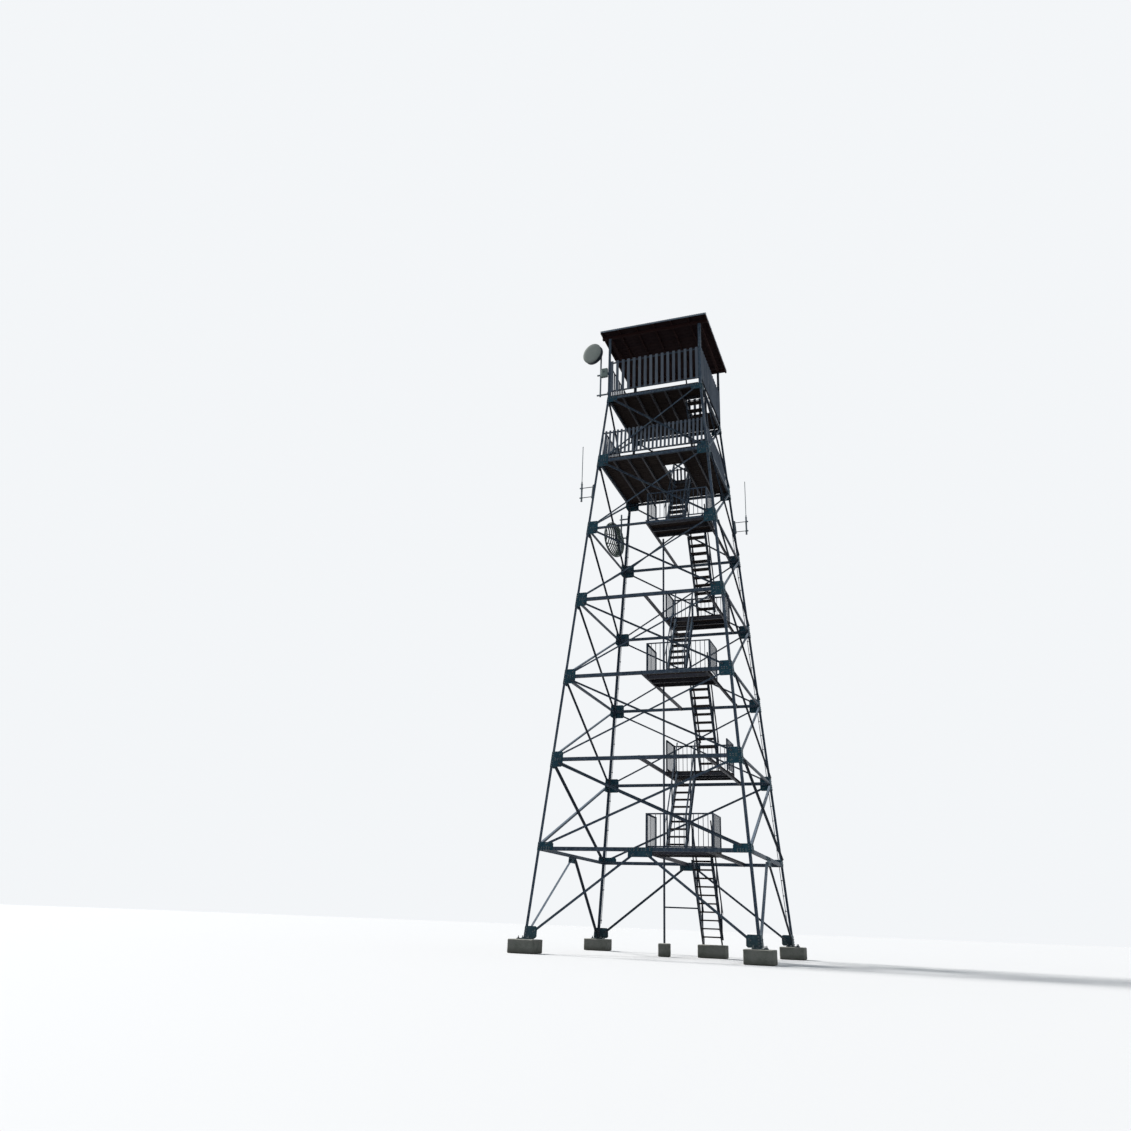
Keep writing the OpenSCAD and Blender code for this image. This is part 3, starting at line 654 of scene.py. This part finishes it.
FOOTING_W, POST_PAD_W = 0.72, 0.30
STAIR_PAD_D, PAD_MARGIN = 0.51, 0.10
FOOT = BASE_W / 2 - LEG_W / 2
corners = [(x, y) for x in (-FOOT, FOOT) for y in (-FOOT, FOOT)]
pads = [cast_block(x, y, FOOTING_W / 2, FOOTING_W / 2) for x, y in corners]
pads.append(cast_block(LANE_RIGHT + FLIGHT_W / 2, WELL_Y[1] + FLIGHT_FOOT / 2,
                       FLIGHT_W / 2 + PAD_MARGIN, STAIR_PAD_D / 2))
pads.append(cast_block(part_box("stair_post")[0].x + 0.03, WELL_Y[0] + 0.38 * (WELL_Y[1] - WELL_Y[0]),
                       POST_PAD_W / 2, POST_PAD_W / 2))
cast_footings = join("cast_footings", pads)
done(cast_footings, "rough_concrete", "footing_concrete", "footings")
print("footings:", len(cast_footings.data.polygons), "faces")

# %% [markdown]
# Each plate is bolted to the leg, the girt and the braces. One bolt head is modelled: a washer, and on
# it a six-sided head with its corners turned off. The nut behind the steel is its twin, and the end of
# the bolt stands out of it. Boards and sheets are held by small screws.

# %% One bolt, one nut, one screw
def hex_bolt(head=0.016, high=0.0125, washer=0.020):
    ring = rod("washer", washer, 0, 0.003, 12)
    return join("bolt", [ring, crown(rod("head", head, 0.003, high, 6), 0.003, 0.002)])


def small_bolt():
    return hex_bolt(0.010, 0.009, 0.013)


def hex_nut():
    nut = crown(rod("nut", 0.016, 0, 0.013, 6), 0.003, 0.001)
    end = crown(rod("end", 0.010, 0, 0.021, 8), 0.002, 0.002)
    return join("nut", [nut, end])


def screw(radius=0.006, high=0.0015):
    return crown(rod("screw", radius, 0, high, 6), radius * 0.3, high * 0.4)


# %% [markdown]
# The bolts are listed on the flat drawing of a face. Each entry says where the hole is, how far out the
# head sits and how far in the nut, because a leg, a girt and a brace differ in thickness. Rows on the
# leg run beside its heel, rows on a girt run along it, and each end of a brace has two.

# %% Places of the bolts
LEG_LINE, GIRT_LINE = 0.042, 0.025
LEG_ROWS = {1: (0.02, 0.08, 0.14), LEVELS: (-0.135, -0.075, 0.01)}
PLATE_ROWS = (-0.19, -0.13, -0.07, 0.07, 0.13, 0.19)
BRACE_GAP, BRACE_END, FOOT_BRACE_V = 0.065, LEG_W + 0.145, 0.17
MID_PLATE_W = 0.66
OUTER_FACE = PLATE_T + BRACE_T


def level_holes(side, s, i):
    """Holes of a plate at a level: one row on the leg, and one or two on the girt."""
    for v in [slope(i) + dv for dv in LEG_ROWS.get(i, PLATE_ROWS)]:
        yield s * (half_width(v) - LEG_LINE), v, PLATE_T, -LEG_T
    # The right face has lighter girts in its middle, and the front has one at the fifth level
    light = (side == 1 and 1 < i < 6) or (side == 0 and i == 5)
    rows = ((LIGHT_GIRT_H - GIRT_H) / 2,) if light else (-GIRT_LINE, GIRT_LINE)
    for v in [slope(i) + dv for dv in rows]:
        for inset in (0.125, 0.195, 0.265, 0.335) if i == 1 else (0.125, 0.20, 0.275):
            yield s * (half_width(v) - inset), v, PLATE_T, -GIRT_T


def foot_holes(s):
    """Holes of a foot plate, a slanting foot brace, and half of the middle plate."""
    for v in (0.065, 0.135, 0.205, 0.275):
        yield s * (half_width(v) - LEG_LINE), v, PLATE_T, -LEG_T
    start = Vector((BRACE_END - half_width(FOOT_BRACE_V), FOOT_BRACE_V))
    end = Vector((-MID_PLATE_W / 4, slope(1) - GIRT_H / 2 - BRACE_GAP))
    along = (end - start).normalized()
    for p in (start + along * 0.03, start + along * 0.08, end - along * 0.02, end - along * 0.07):
        yield -s * p.x, p.y, PLATE_T, -BRACE_T
    for x in (0.05, 0.16, 0.27):
        for dv in (-GIRT_LINE, GIRT_LINE):
            yield s * x, slope(1) + dv, PLATE_T, -GIRT_T


def brace_ends(i):
    """Start and end of the rising brace of a panel, as in the frame."""
    v0, v1 = slope(i) + GIRT_H / 2 + BRACE_GAP, slope(i + 1) - GIRT_H / 2 - BRACE_GAP
    return Vector((BRACE_END - half_width(v0), v0)), Vector((half_width(v1) - BRACE_END, v1))


def crossing(i):
    """How far up the face the two braces of a panel cross."""
    a, b = brace_ends(i)
    return a.y - a.x / (b.x - a.x) * (b.y - a.y)


def panel_holes(i):
    """Holes at the ends of a panel's two braces, and the one where they cross."""
    a, b = brace_ends(i)
    along = (b - a).normalized()
    for reach in (0.025, 0.07):
        for p in (a + along * reach, b - along * reach):
            yield p.x, p.y, PLATE_T, -BRACE_T
            yield -p.x, p.y, OUTER_FACE, 0
    yield 0, crossing(i), OUTER_FACE, -BRACE_T


holes = []
for side in range(4):
    drawing = []
    for s in (-1, 1):
        for i in range(1, LEVELS + 1):
            drawing += level_holes(side, s, i)
        drawing += foot_holes(s)
    for i in range(1, LEVELS):
        drawing += panel_holes(i)
    holes += [(on_face(side), *hole) for hole in drawing]
print("holes:", len(holes))

# %% [markdown]
# The head goes on the outside and the nut on the inside of each hole. Every one of them is turned by a
# different amount, as a wrench would leave it.

# %% Bolts of the frame
chance = random.Random(11)


def wrenched():
    return turned(chance.uniform(0, 60), "Z")


fastened("frame_bolts", hex_bolt(),
         [on @ place_at(x, v, out) @ wrenched() for on, x, v, out, back in holes])
fastened("frame_nuts", hex_nut(),
         [on @ place_at(x, v, back) @ turned(180, "X") @ wrenched() for on, x, v, out, back in holes])

# %% [markdown]
# Where two braces cross, one runs inside and one outside the plates, so a thick ring round the bolt
# fills the gap. The channels under the stair and the decks are bolted down through the girts.

# %% Spacer rings and bearer bolts
HALF_CHANNEL, JOIST_STEP = 0.025, 0.56
fastened("spacer_rings", rod("ring", 0.020, 0, PLATE_T, 16, 0.0015),
         [on_face(side) @ place_at(0, crossing(i), 0) for side in range(4) for i in range(1, LEVELS)])


def joist_lines(i, lane):
    """Middles of the channels that carry a deck on both sides of the stair."""
    edge = half_at(level(i)) - GIRT_W
    left, right = lane - WELL_GAP, lane + FLIGHT_W + WELL_GAP
    spans = math.ceil((left + edge) / JOIST_STEP)
    lines = [left - k * (left + edge) / spans - HALF_CHANNEL for k in range(spans)]
    if edge - right > 2 * HALF_CHANNEL:
        lines.append(right + HALF_CHANNEL)
    if edge - right > JOIST_STEP:
        lines.append((right + edge) / 2 + HALF_CHANNEL)
    return lines


carried = {i: [floor_low.x + HALF_CHANNEL, floor_high.x - HALF_CHANNEL] for i in range(1, 6)}
carried.update({i: joist_lines(i, lane) for deck, i, lane in DECKS})
places = [on_face(side) @ place_at(way * x, slope(i) - GIRT_H / 2, -0.036) @ turned(90, "X")
          for side, way in ((0, 1), (2, -1)) for i, lines in carried.items() for x in lines]
fastened("bearer_bolts", hex_bolt(0.012, 0.010, 0.015), places)

# %% [markdown]
# Four threaded studs rise from each footing through the base plate. Each has a washer and a nut, and its
# end stands out.

# %% Anchor bolts
BASE_PLATE_T, ANCHOR_OFF = 0.02, 0.14
anchor = join("anchor", [rod("washer", 0.032, 0, 0.005, 16),
                         rod("nut", 0.024, 0.005, 0.026, 6, 0.002),
                         rod("stud", 0.012, 0.0, 0.062, 12, 0.002)])
places = [place_at(x + dx * ANCHOR_OFF, y + dy * ANCHOR_OFF, FOOTING_H + BASE_PLATE_T)
          for x, y in corners for dx in (-1, 1) for dy in (-1, 1)]
fastened("anchor_bolts", anchor, places)

# %% [markdown]
# The joists are a few millimetres higher than the girts. At the sides no joist fills that step, so a
# flat strip on each side girt carries the ends of the boards. Without it a line of sky would show.

# %% Packing strips
strips = []
for side in (1, 3):
    for i in (6, 7):
        top = up_face(floor_level(i) - PLANK_T) - 0.0005
        half = half_width(top) - POST_W
        strip = block("strip", (-half, slope(i) + GIRT_H / 2, -0.045), (half, top, -0.001), 0.001)
        strips.append(put(strip, on_face(side)))
done(join("deck_packers", strips), "weathered_steel")
print("packing strips:", len(strips))

# %% [markdown]
# A tread is two planks with a gap between them, worn round at the front edge. Its ends rest on short
# angles, each two flat pieces, that are bolted to the stringers from outside. The flights climb to the
# back and to the front by turns.

# %% Treads and cleats
RISERS, RUN = 11, WELL_Y[1] - WELL_Y[0] + FLIGHT_FOOT
FLANGE, STRINGER_T, CLEAT_T = 0.045, 0.006, 0.004
inner = FLIGHT_W / 2 - FLANGE
tread = join("tread", [block("plank", (-inner, low, -PLANK_T), (inner, high, 0), 0.004)
                       for low, high in ((-0.100, -0.003), (0.003, 0.100))])
tread_screws = join("tread_screws", [put(screw(), place_at(x, y, 0))
                                     for x in (-inner + 0.02, inner - 0.02) for y in (-0.05, 0.05)])
cleat = join("cleat", [block("flat", (0, -0.07, -CLEAT_T), (0.035, 0.07, 0), 0),
                       block("upright", (0, -0.07, -0.040), (CLEAT_T, 0.07, -CLEAT_T), 0)])
cleat_bolt = put(small_bolt(), place_at(-STRINGER_T, 0, -0.022) @ turned(-90, "Y"))

tread_places, cleat_places = [], []
for f in range(1, LEVELS + 1):
    start = FOOTING_H if f == 1 else floor_level(f - 1)
    rise = floor_level(f) - start
    to_back = f % 2 == 0
    middle = (LANE_LEFT if to_back else LANE_RIGHT) + FLIGHT_W / 2
    for k in range(1, RISERS):
        run = (k + 0.25) * RUN / RISERS
        y = WELL_Y[0] - FLIGHT_FOOT + run if to_back else WELL_Y[1] + FLIGHT_FOOT - run
        here = place_at(middle, y, start + k * rise / RISERS)
        tread_places.append(here)
        cleat_places += [here @ place_at(-inner, 0, -PLANK_T),
                         here @ place_at(inner, 0, -PLANK_T) @ turned(180, "Z")]
done(copies("tread_planks", tread, tread_places), "tread_timber", "timber_planks", "stair_treads")
fastened("tread_screw_heads", tread_screws, tread_places)
done(copies("tread_cleats", cleat, cleat_places), "weathered_steel")
fastened("cleat_bolts", cleat_bolt, cleat_places)

# %% [markdown]
# The railings are upright boards on two angle bars. No two of them stand quite alike, so every copy
# leans a fraction of a degree its own way. A round-headed bolt holds each slat to each bar.

# %% Slats of the deck railings
SLAT_T, SLAT_GAP, RAIL_W, BRACE_W = 0.022, 0.13, 0.04, 0.05
LOWER_W, LOWER_PITCH, LOWER_H = 0.065, 0.135, 1.07
UPPER_W, UPPER_PITCH, UPPER_H = 0.090, 0.195, 1.33
LOWER_IN = BRACE_W + SLAT_T + 2 * PLAY


def slat_places(row, length, width, pitch):
    bays = math.ceil((length - width) / pitch - 1e-6)
    return [row @ place_at(width / 2 + k * (length - width) / bays)
            @ turned(chance.uniform(-0.25, 0.25), "Y") for k in range(bays + 1)]


lower_places, upper_places = [], []
low_v = up_face(floor_level(6)) + 2 * RAIL_W * math.sin(LEAN)
for side in range(4):
    at_corner = RAIL_W + PLAY if side % 2 else 0
    half = half_width(low_v + LOWER_H) - LOWER_IN - PLAY - at_corner
    row = on_face(side) @ place_at(-half, low_v, -LOWER_IN) @ turned(-90, "X")
    lower_places += slat_places(row, 2 * half, LOWER_W, LOWER_PITCH)
    half = POST_HEEL - POST_W - PLAY
    row = turned(90 * side, "Z") @ place_at(-half, POST_T - POST_HEEL, floor_level(7))
    upper_places += slat_places(row, 2 * half, UPPER_W, UPPER_PITCH)
for name, width, high, places in (("lower", LOWER_W, LOWER_H, lower_places),
                                  ("upper", UPPER_W, UPPER_H, upper_places)):
    slat = block("slat", (-width / 2, -SLAT_T, SLAT_GAP), (width / 2, 0, high))
    heads = join("heads", [put(screw(0.011, 0.004), place_at(0, -SLAT_T, z) @ turned(90, "X"))
                           for z in (SLAT_GAP + RAIL_W, high - 1.5 * RAIL_W)])
    done(copies(name + "_deck_slats", slat, places), "slat_timber", "railing_slats", "deck_slats")
    fastened(name + "_slat_bolts", heads, places)

# %% [markdown]
# Every floor board is screwed down at each channel that it crosses, and the roof sheet is screwed to the
# rafters through its crests. Screws that would fall into the stair opening or a notch are left out.

# %% Screws of the boards and the roof sheet
CORNER = POST_W + 0.02


def screw_places(low, high, lines, lane=None):
    """Two screws to a board on each line. A lane is given where the floor has an opening."""
    count, step = board_rows(low.y, high.y)
    for row in range(count):
        for share in (0.25, 0.75):
            y = low.y + row * step + share * (step - BOARD_GAP)
            for x in lines:
                if lane is not None:
                    in_well = WELL_Y[0] < y < WELL_Y[1] and lane < x < lane + FLIGHT_W
                    if in_well or (abs(x) > high.x - CORNER and abs(y) > high.y - CORNER):
                        continue
                yield place_at(x, y, high.z)


heads = []
for i in range(1, 6):
    y = landing_y(i)
    heads += screw_places(Vector((0, y, 0)), Vector((0, y + LANDING_D, floor_level(i))), carried[i])
for deck, i, lane in DECKS:
    heads += screw_places(*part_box(deck + "_floor"), carried[i], lane)
fastened("board_screws", screw(), heads)

RAFTERS = 7
low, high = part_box("roof_rafters")
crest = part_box("roof_sheet")[1].z + RIB_RISE
step = (high.x - low.x - 2 * HALF_CHANNEL) / (RAFTERS - 1)
lines = [round((low.x + HALF_CHANNEL + k * step) / RIB_PITCH) * RIB_PITCH for k in range(RAFTERS)]
heads = [place_at(x, y, crest) for x in lines for y in np.linspace(low.y + 0.08, high.y - 0.08, 9)]
fastened("roof_screws", screw(0.012, 0.005), heads)

# %% [markdown]
# The pipes of the antennas are held by collars, each with an ear and a bolt that draws it tight. The dish
# and the grid hang on masts beside a post and a leg, and the two whips stand on short pipes. Each has
# two arms, and each arm has its collar.

# %% Collars of the masts
MAST_R = 0.030
grid_z = level(6) - 0.49 * PANEL
dish_mast = Vector((-POST_HEEL - 0.28, -POST_HEEL + POST_W / 2, LEG_TOP + 0.0825))
grid_mast = Vector((-half_at(grid_z) - 0.20, half_at(grid_z) - LEG_W / 2, grid_z - 0.49))
DISH_ARMS, GRID_ARMS = (0.06, 0.845), (0.482, 1.21)
WHIP_ARMS = [0.62 * share + 0.005 for share in (0.2, 0.75)]
WHIP_HEEL = 0.31  # height above the foot of a whip at which its arms reach the leg
whips = []
for way, drop in ((-1, 0.58), (1, 0.63)):
    z = level(6) - drop * PANEL
    heel = half_at(z + WHIP_HEEL)
    whips.append(Vector((way * (heel + 0.40), way * (heel - LEG_W / 2), z)))

collar = join("collar", [
    rod("band", MAST_R + 0.006, -0.028, 0.028, 20, 0.003),
    block("ear", (-0.068, -0.011, -0.022), (-0.030, 0.011, 0.022)),
    put(small_bolt(), place_at(-0.054, -0.011, 0) @ turned(90, "X"))])
arms = [(mast, z, 0) for mast, heights in ((dish_mast, DISH_ARMS), (grid_mast, GRID_ARMS)) for z in heights]
arms += [(w, z, 0 if w.x < 0 else 180) for w in whips for z in WHIP_ARMS]
places = [place_at(mast.x, mast.y, mast.z + z) @ turned(turn, "Z") for mast, z, turn in arms]
done(copies("mast_collars", collar, places), "mast_steel")

# %% [markdown]
# The arms end on plates that are bolted to the flange of a leg, so most of them lie flat on the leaning
# face. Those of the dish sit on the upright corner post.

# %% Brackets of the masts
ARM_PLATE, WHIP_PLATE = 0.16, 0.50


def bracket(length):
    """A plate with a bolt near each corner, drawn flat. A long one is stiffened by a tube."""
    end = length / 2
    plate = block("plate", (-0.045, -end, 0), (0.045, end, 0.008), 0.002)
    if length > 0.3:
        tube = block("tube", (-0.020, 0.02 - end, 0.006), (0.020, end - 0.02, 0.048))
        plate = join("plate", [plate, tube])
    bolts = [put(small_bolt(), place_at(x, y, 0.008))
             for x in (-0.028, 0.028) for y in (0.025 - end, end - 0.025)]
    return join("bracket", [plate] + bolts)


legs = [(3, 1, whips[0].z + 0.30, WHIP_PLATE), (1, 1, whips[1].z + 0.30, WHIP_PLATE)]
legs += [(3, -1, grid_mast.z + z, ARM_PLATE) for z in GRID_ARMS]
brackets = []
for side, s, z, length in legs:
    v = up_face(z)
    here = on_face(side) @ place_at(s * (half_width(v) - LEG_W / 2), v, 0)
    brackets.append(put(bracket(length), here))
for z in DISH_ARMS:
    here = place_at(-POST_HEEL, dish_mast.y, dish_mast.z + z) @ turned(-90, "Y")
    brackets.append(put(bracket(ARM_PLATE), here))
done(join("mast_brackets", brackets), "mast_steel")
print("brackets:", len(brackets))

# %% [markdown]
# A whip is a thin rod that stands in a heavy socket. The socket is turned in steps, and a small ball
# at the tip keeps it from cutting anyone.

# %% Fittings of the whips
socket = join("socket", [
    rod("cap", MAST_R + 0.004, 0.605, 0.628, 20, 0.003),
    crown(rod("neck", 0.022, 0.628, 0.70, 16, 0.002), 0.006, 0.015),
    crown(rod("foot", MAST_R + 0.003, -0.004, 0.018, 20, 0.002), 0.01, 0.001, top=False),
    crown(rod("tip", 0.015, 1.955, 1.978, 12, 0.004), 0.004, 0.002)])
done(copies("whip_fittings", socket, [place_at(*w) for w in whips]), "mast_steel")

# %% [markdown]
# The dish is a closed drum: a pale cover in front of a dark shroud. Both start as short cylinders. The
# cover is inset and pushed out in steps into a shallow dome, and the back of the shroud into a cone,
# down to the hub where the mount grips it. A steel band goes round the seam.

# %% The dish
DISH_R, DISH_SIDES = 0.36, 72
dish_at = dish_mast + Vector((-0.18, -0.06, 1.59))
dish_place = place_at(*dish_at) @ turned(-15, "Z") @ turned(90, "X")
dish = rod("dish_cover", DISH_R, 0.222, 0.240, DISH_SIDES)
for inset, lift in ((0.006, 0.008), (0.014, 0.005), (0.09, 0.004), (0.12, 0.002)):
    crown(dish, inset, lift)
shroud = rod("dish_shroud", DISH_R - 0.004, 0.085, 0.223, DISH_SIDES)
for inset, lift in ((0.006, 0.007), (0.014, 0.010), (0.13, 0.026), (0.126, 0.028), (0.004, 0.008)):
    crown(shroud, inset, lift, top=False)
for piece, finish in ((dish, "dish_cover"), (shroud, "shroud_painted_shade")):
    smooth(put(piece, dish_place), 28)
    done(piece, finish, "antenna_shell", "dish_antenna")

mount = [rod("seam", DISH_R + 0.004, 0.206, 0.222, DISH_SIDES, 0.002),
         rod("hub", 0.085, -0.010, 0.012, 24, 0.003),
         rod("pivot", 0.030, -0.045, -0.010, 16, 0.003),
         block("lug", (DISH_R, -0.015, 0.200), (DISH_R + 0.022, 0.015, 0.228), 0.002)]
for k in range(6):
    on_hub = turned(60 * k, "Z") @ place_at(0.062, 0, -0.010) @ turned(180, "X")
    mount.append(put(small_bolt(), on_hub))
done(put(join("dish_mount", mount), dish_place), "mast_steel")
print("dish:", len(dish.data.polygons) + len(shroud.data.polygons), "faces")

# %% [markdown]
# The bowl is a rack of upright blades. Seen along them it is nearly open, and seen from the side it
# looks closed, so it catches radio waves but little wind. All blades lie on one ball: each is a small
# rectangle that is spun round the ball's middle, at a radius that follows from how far out it sits.

# %% The grid antenna
BOWL_W, BOWL_DEEP, BLADES, RIBS_OFF = 1.25, 0.26, 15, (-0.3125, 0, 0.3125)
BALL_R = (BOWL_W ** 2 / 4 + BOWL_DEEP ** 2) / 2 / BOWL_DEEP
RIM_MIDDLE = BOWL_W / 2 - 0.019


def spun_bar(width, deep, off, behind=0.0):
    """A bar of the bowl at a distance from its middle, on the ball or behind it."""
    radius = math.sqrt(BALL_R ** 2 - off ** 2)
    reach = math.asin(math.sqrt(RIM_MIDDLE ** 2 - off ** 2) / radius)
    bpy.ops.mesh.primitive_plane_add(size=1, rotation=(0, math.radians(90), 0))
    bpy.context.object.scale = (deep, width, 1)
    bar = just_added("bar", 0)
    put(bar, place_at(0, off, BALL_R) @ Matrix.Rotation(reach, 4, "Y")
        @ place_at(0, 0, deep / 2 - behind - radius))
    with editing(bar):
        bpy.ops.mesh.spin(steps=14, angle=2 * reach, center=(0, off, BALL_R), axis=(0, 1, 0))
        bpy.ops.mesh.select_all(action="SELECT")
        bpy.ops.mesh.normals_make_consistent(inside=False)
    return bar


bowl = [spun_bar(0.008, 0.050, BOWL_W * (k / (BLADES + 1) - 0.5)) for k in range(1, BLADES + 1)]
bowl += [put(spun_bar(0.030, 0.012, off, 0.012), turned(90, "Z")) for off in RIBS_OFF]
bowl.append(cut_away(rod("rim", 0.635, 0.226, 0.278, 72), [rod("cutter", 0.603, 0.2, 0.3, 72)]))
bowl.append(block("hub", (-0.09, -0.05, -0.004), (0.09, 0.05, 0.004), 0.002))
bowl += [put(small_bolt(), place_at(x, y, 0.004)) for x in (-0.07, 0.07) for y in (-0.034, 0.034)]
grid_place = place_at(grid_mast.x - MAST_R, grid_mast.y, grid_z) @ turned(-15, "Z") @ turned(-90, "Y")
grid_bowl = put(join("grid_bowl", bowl), grid_place)
smooth(grid_bowl, 20)
done(grid_bowl, "grid_metal", "antenna_grid", "grid_antenna")
print("grid bowl:", len(grid_bowl.data.polygons), "faces")

# %% [markdown]
# The case has a lid with eased edges in front and cooling fins behind. A round port sits on the lid,
# and cable glands stick out of the bottom. One fin is made, and an array repeats it.

# %% The radio unit
FINS, FIN_T = 12, 0.006
low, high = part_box("radio_unit")
middle = (low + high) / 2
case = block("case", (low.x, low.y + 0.012, low.z + 0.02), (high.x, high.y - 0.035, high.z), 0.006)
lid = block("lid", (low.x + 0.012, low.y, low.z + 0.032),
            (high.x - 0.012, low.y + 0.014, high.z - 0.012), 0.004)
fin = block("fin", (low.x + 0.008, high.y - 0.037, low.z + 0.03),
            (low.x + 0.008 + FIN_T, high.y, high.z - 0.01), 0.001)
fins = in_a_row(fin, FINS, ((high.x - low.x - 0.016 - FIN_T) / (FINS - 1), 0, 0))
done(join("radio_case", [case, lid, fins]), "radio_cover", "radio_case", "radio_unit")

fittings = [put(crown(rod("port", 0.026, 0, 0.008, 20, 0.002), 0.008, -0.004),
                place_at(middle.x, low.y, middle.z + 0.03) @ turned(90, "X"))]
for x in (-0.06, 0.0, 0.06):
    gland = crown(rod("gland", 0.012, 0, 0.020, 8), 0.003, 0.004, top=False)
    fittings.append(put(gland, place_at(middle.x + x, middle.y, low.z + 0.002)))
for x in (low.x + 0.024, high.x - 0.024):
    for z in (low.z + 0.045, high.z - 0.025):
        fittings.append(put(screw(0.006, 0.003), place_at(x, low.y, z) @ turned(90, "X")))
done(join("radio_fittings", fittings), "rail_steel", "radio_case")
print("radio unit: %d fins, %d fittings" % (FINS, len(fittings)))

# %% [markdown]
# A thin pipe runs down the back right leg on short ties, and a line hugs the back left one under small
# clamps. Both lean with the leg: they are drawn on the back face and turned to the slope of its edge.
# No tie is set where a plate is in the way.

# %% Lines on the back legs
EDGE_LEAN = math.degrees(math.atan(math.sin(LEAN)))
LINE_FOOT, FIRST_TIE, PLATE_REACH, TIE_REACH = 0.45, 0.55, 0.25, 0.030
back = on_face(2)


def tie(s, reach, off, radius):
    """A strap over the line, a flat arm, and a stub on the flange of the leg."""
    ends = sorted((0, s * reach))
    return join("tie", [
        block("strap", (-0.018, -0.016, off + radius - 0.002), (0.018, 0.016, off + radius + 0.003), 0.001),
        block("tie", (ends[0], -0.010, off - 0.003), (ends[1], 0.010, off + 0.003), 0.001),
        block("stub", (s * reach - 0.012, -0.012, 0), (s * reach + 0.012, 0.012, off + 0.004), 0.001)])


lines, ties = [], []
for s, inset, off, radius, top, pitch in ((-1, 0.125, 0.048, 0.011, whips[1].z + 0.1, 0.44),
                                          (1, 0.092, 0.014, 0.009, grid_mast.z + 0.3, 0.93)):
    top_v = up_face(top)
    line = rod("line", radius, LINE_FOOT, top_v * math.hypot(1, math.sin(LEAN)), 10, 0.002)
    foot = back @ place_at(s * (BASE_W / 2 - inset), 0, off)
    lines.append(put(line, foot @ turned(s * EDGE_LEAN, "Z") @ turned(-90, "X")))
    v = FIRST_TIE
    while v < top_v - 0.1:
        if min(abs(v - slope(i)) for i in range(1, LEVELS + 1)) > PLATE_REACH:
            here = back @ place_at(s * (half_width(v) - inset), v, 0)
            ties.append(put(tie(s, inset - TIE_REACH, off, radius), here))
        v += pitch
done(join("leg_lines", lines), "rail_steel")
done(join("line_ties", ties), "rail_steel")
print("lines: %d, ties: %d" % (len(lines), len(ties)))

# %% [markdown]
# A plain pale floor and backdrop show the tower's outline. To the light they are darker than they look,
# so that they don't brighten the shade on the tower.

# %% Floor and backdrop
def is_shown(tree):
    """1 for rays from the camera, from a mirroring surface or through a clear one."""
    path = tree.nodes.new("ShaderNodeLightPath").outputs
    shown = path["Is Camera Ray"]
    for kind in ("Is Glossy Ray", "Is Transmission Ray"):
        shown = add_node(tree, "Math", {0: shown, 1: path[kind]}, operation="MAXIMUM")
    return shown


UNSEEN_FLOOR, PALE_FLOOR = (0.06, 0.06, 0.06, 1), (0.775, 0.76, 0.745, 1)
SKY_LIGHT, BACKDROP = (0.74, 0.87, 1.0, 1), (0.90, 0.92, 0.94, 1)
bpy.ops.mesh.primitive_plane_add(size=600, location=(0, 0, -0.002))
ground = just_added("studio_floor", 0)
pale = bpy.data.materials.new("studio_pale")
pale.use_nodes = True
tree = pale.node_tree
shader = tree.nodes["Principled BSDF"]
shader.inputs["Roughness"].default_value = 0.95
tone = add_node(tree, "Mix", {0: is_shown(tree), 6: UNSEEN_FLOOR, 7: PALE_FLOOR}, 2, data_type="RGBA")
tree.links.new(tone, shader.inputs["Base Color"])
ground.data.materials.append(pale)

world = bpy.data.worlds.new("studio_air")
bpy.context.scene.world = world
world.use_nodes = True
tree = world.node_tree
tree.nodes.clear()
sky = add_node(tree, "Background", {"Color": SKY_LIGHT, "Strength": 0.34})
backdrop = add_node(tree, "Background", {"Color": BACKDROP, "Strength": 1.0})
both = add_node(tree, "MixShader", {0: is_shown(tree), 1: sky, 2: backdrop})
tree.links.new(both, tree.nodes.new("ShaderNodeOutputWorld").inputs[0])
print("stage nodes:", len(pale.node_tree.nodes) + len(tree.nodes))

# %% [markdown]
# Soft sunlight comes mostly from the left and a little from behind, and the sky fills in the shade, so
# the tower reads dark against the pale ground as it does outdoors.

# %% The light
sun = bpy.data.lights.new("soft_key", "SUN")
sun.energy = 4.4
sun.angle = math.radians(14)
key = add_object("soft_key", sun)
key.rotation_euler = Vector((0.80, -0.22, -0.70)).to_track_quat("-Z", "Y").to_euler()
bpy.context.scene.view_settings.view_transform = "Standard"
print("sun: %.1f, %.0f degrees wide" % (sun.energy, math.degrees(sun.angle)))

# %% [markdown]
# The photograph was taken from low on the front right, looking up. The joints of the frame were matched
# to it, which gives the camera's place, its turn to the left, its tilt up and a slight roll.

# %% The camera
CAMERA_AT = (6.974, -27.530, 0.771)
TURN, TILT, ROLL = 20.812, 20.953, 2.151
FOCAL_PIXELS, PHOTO_PIXELS, SENSOR = 933.6, 1131, 36
lens = bpy.data.cameras.new("viewpoint")
lens.sensor_width = SENSOR
lens.lens = FOCAL_PIXELS / PHOTO_PIXELS * SENSOR
lens.clip_end = 1000
viewpoint = add_object("viewpoint", lens)
viewpoint.matrix_world = place_at(*CAMERA_AT) @ turned(TURN, "Z") @ turned(90 + TILT, "X") @ turned(ROLL, "Z")
bpy.context.scene.camera = viewpoint
print("lens: %.1f mm" % lens.lens)
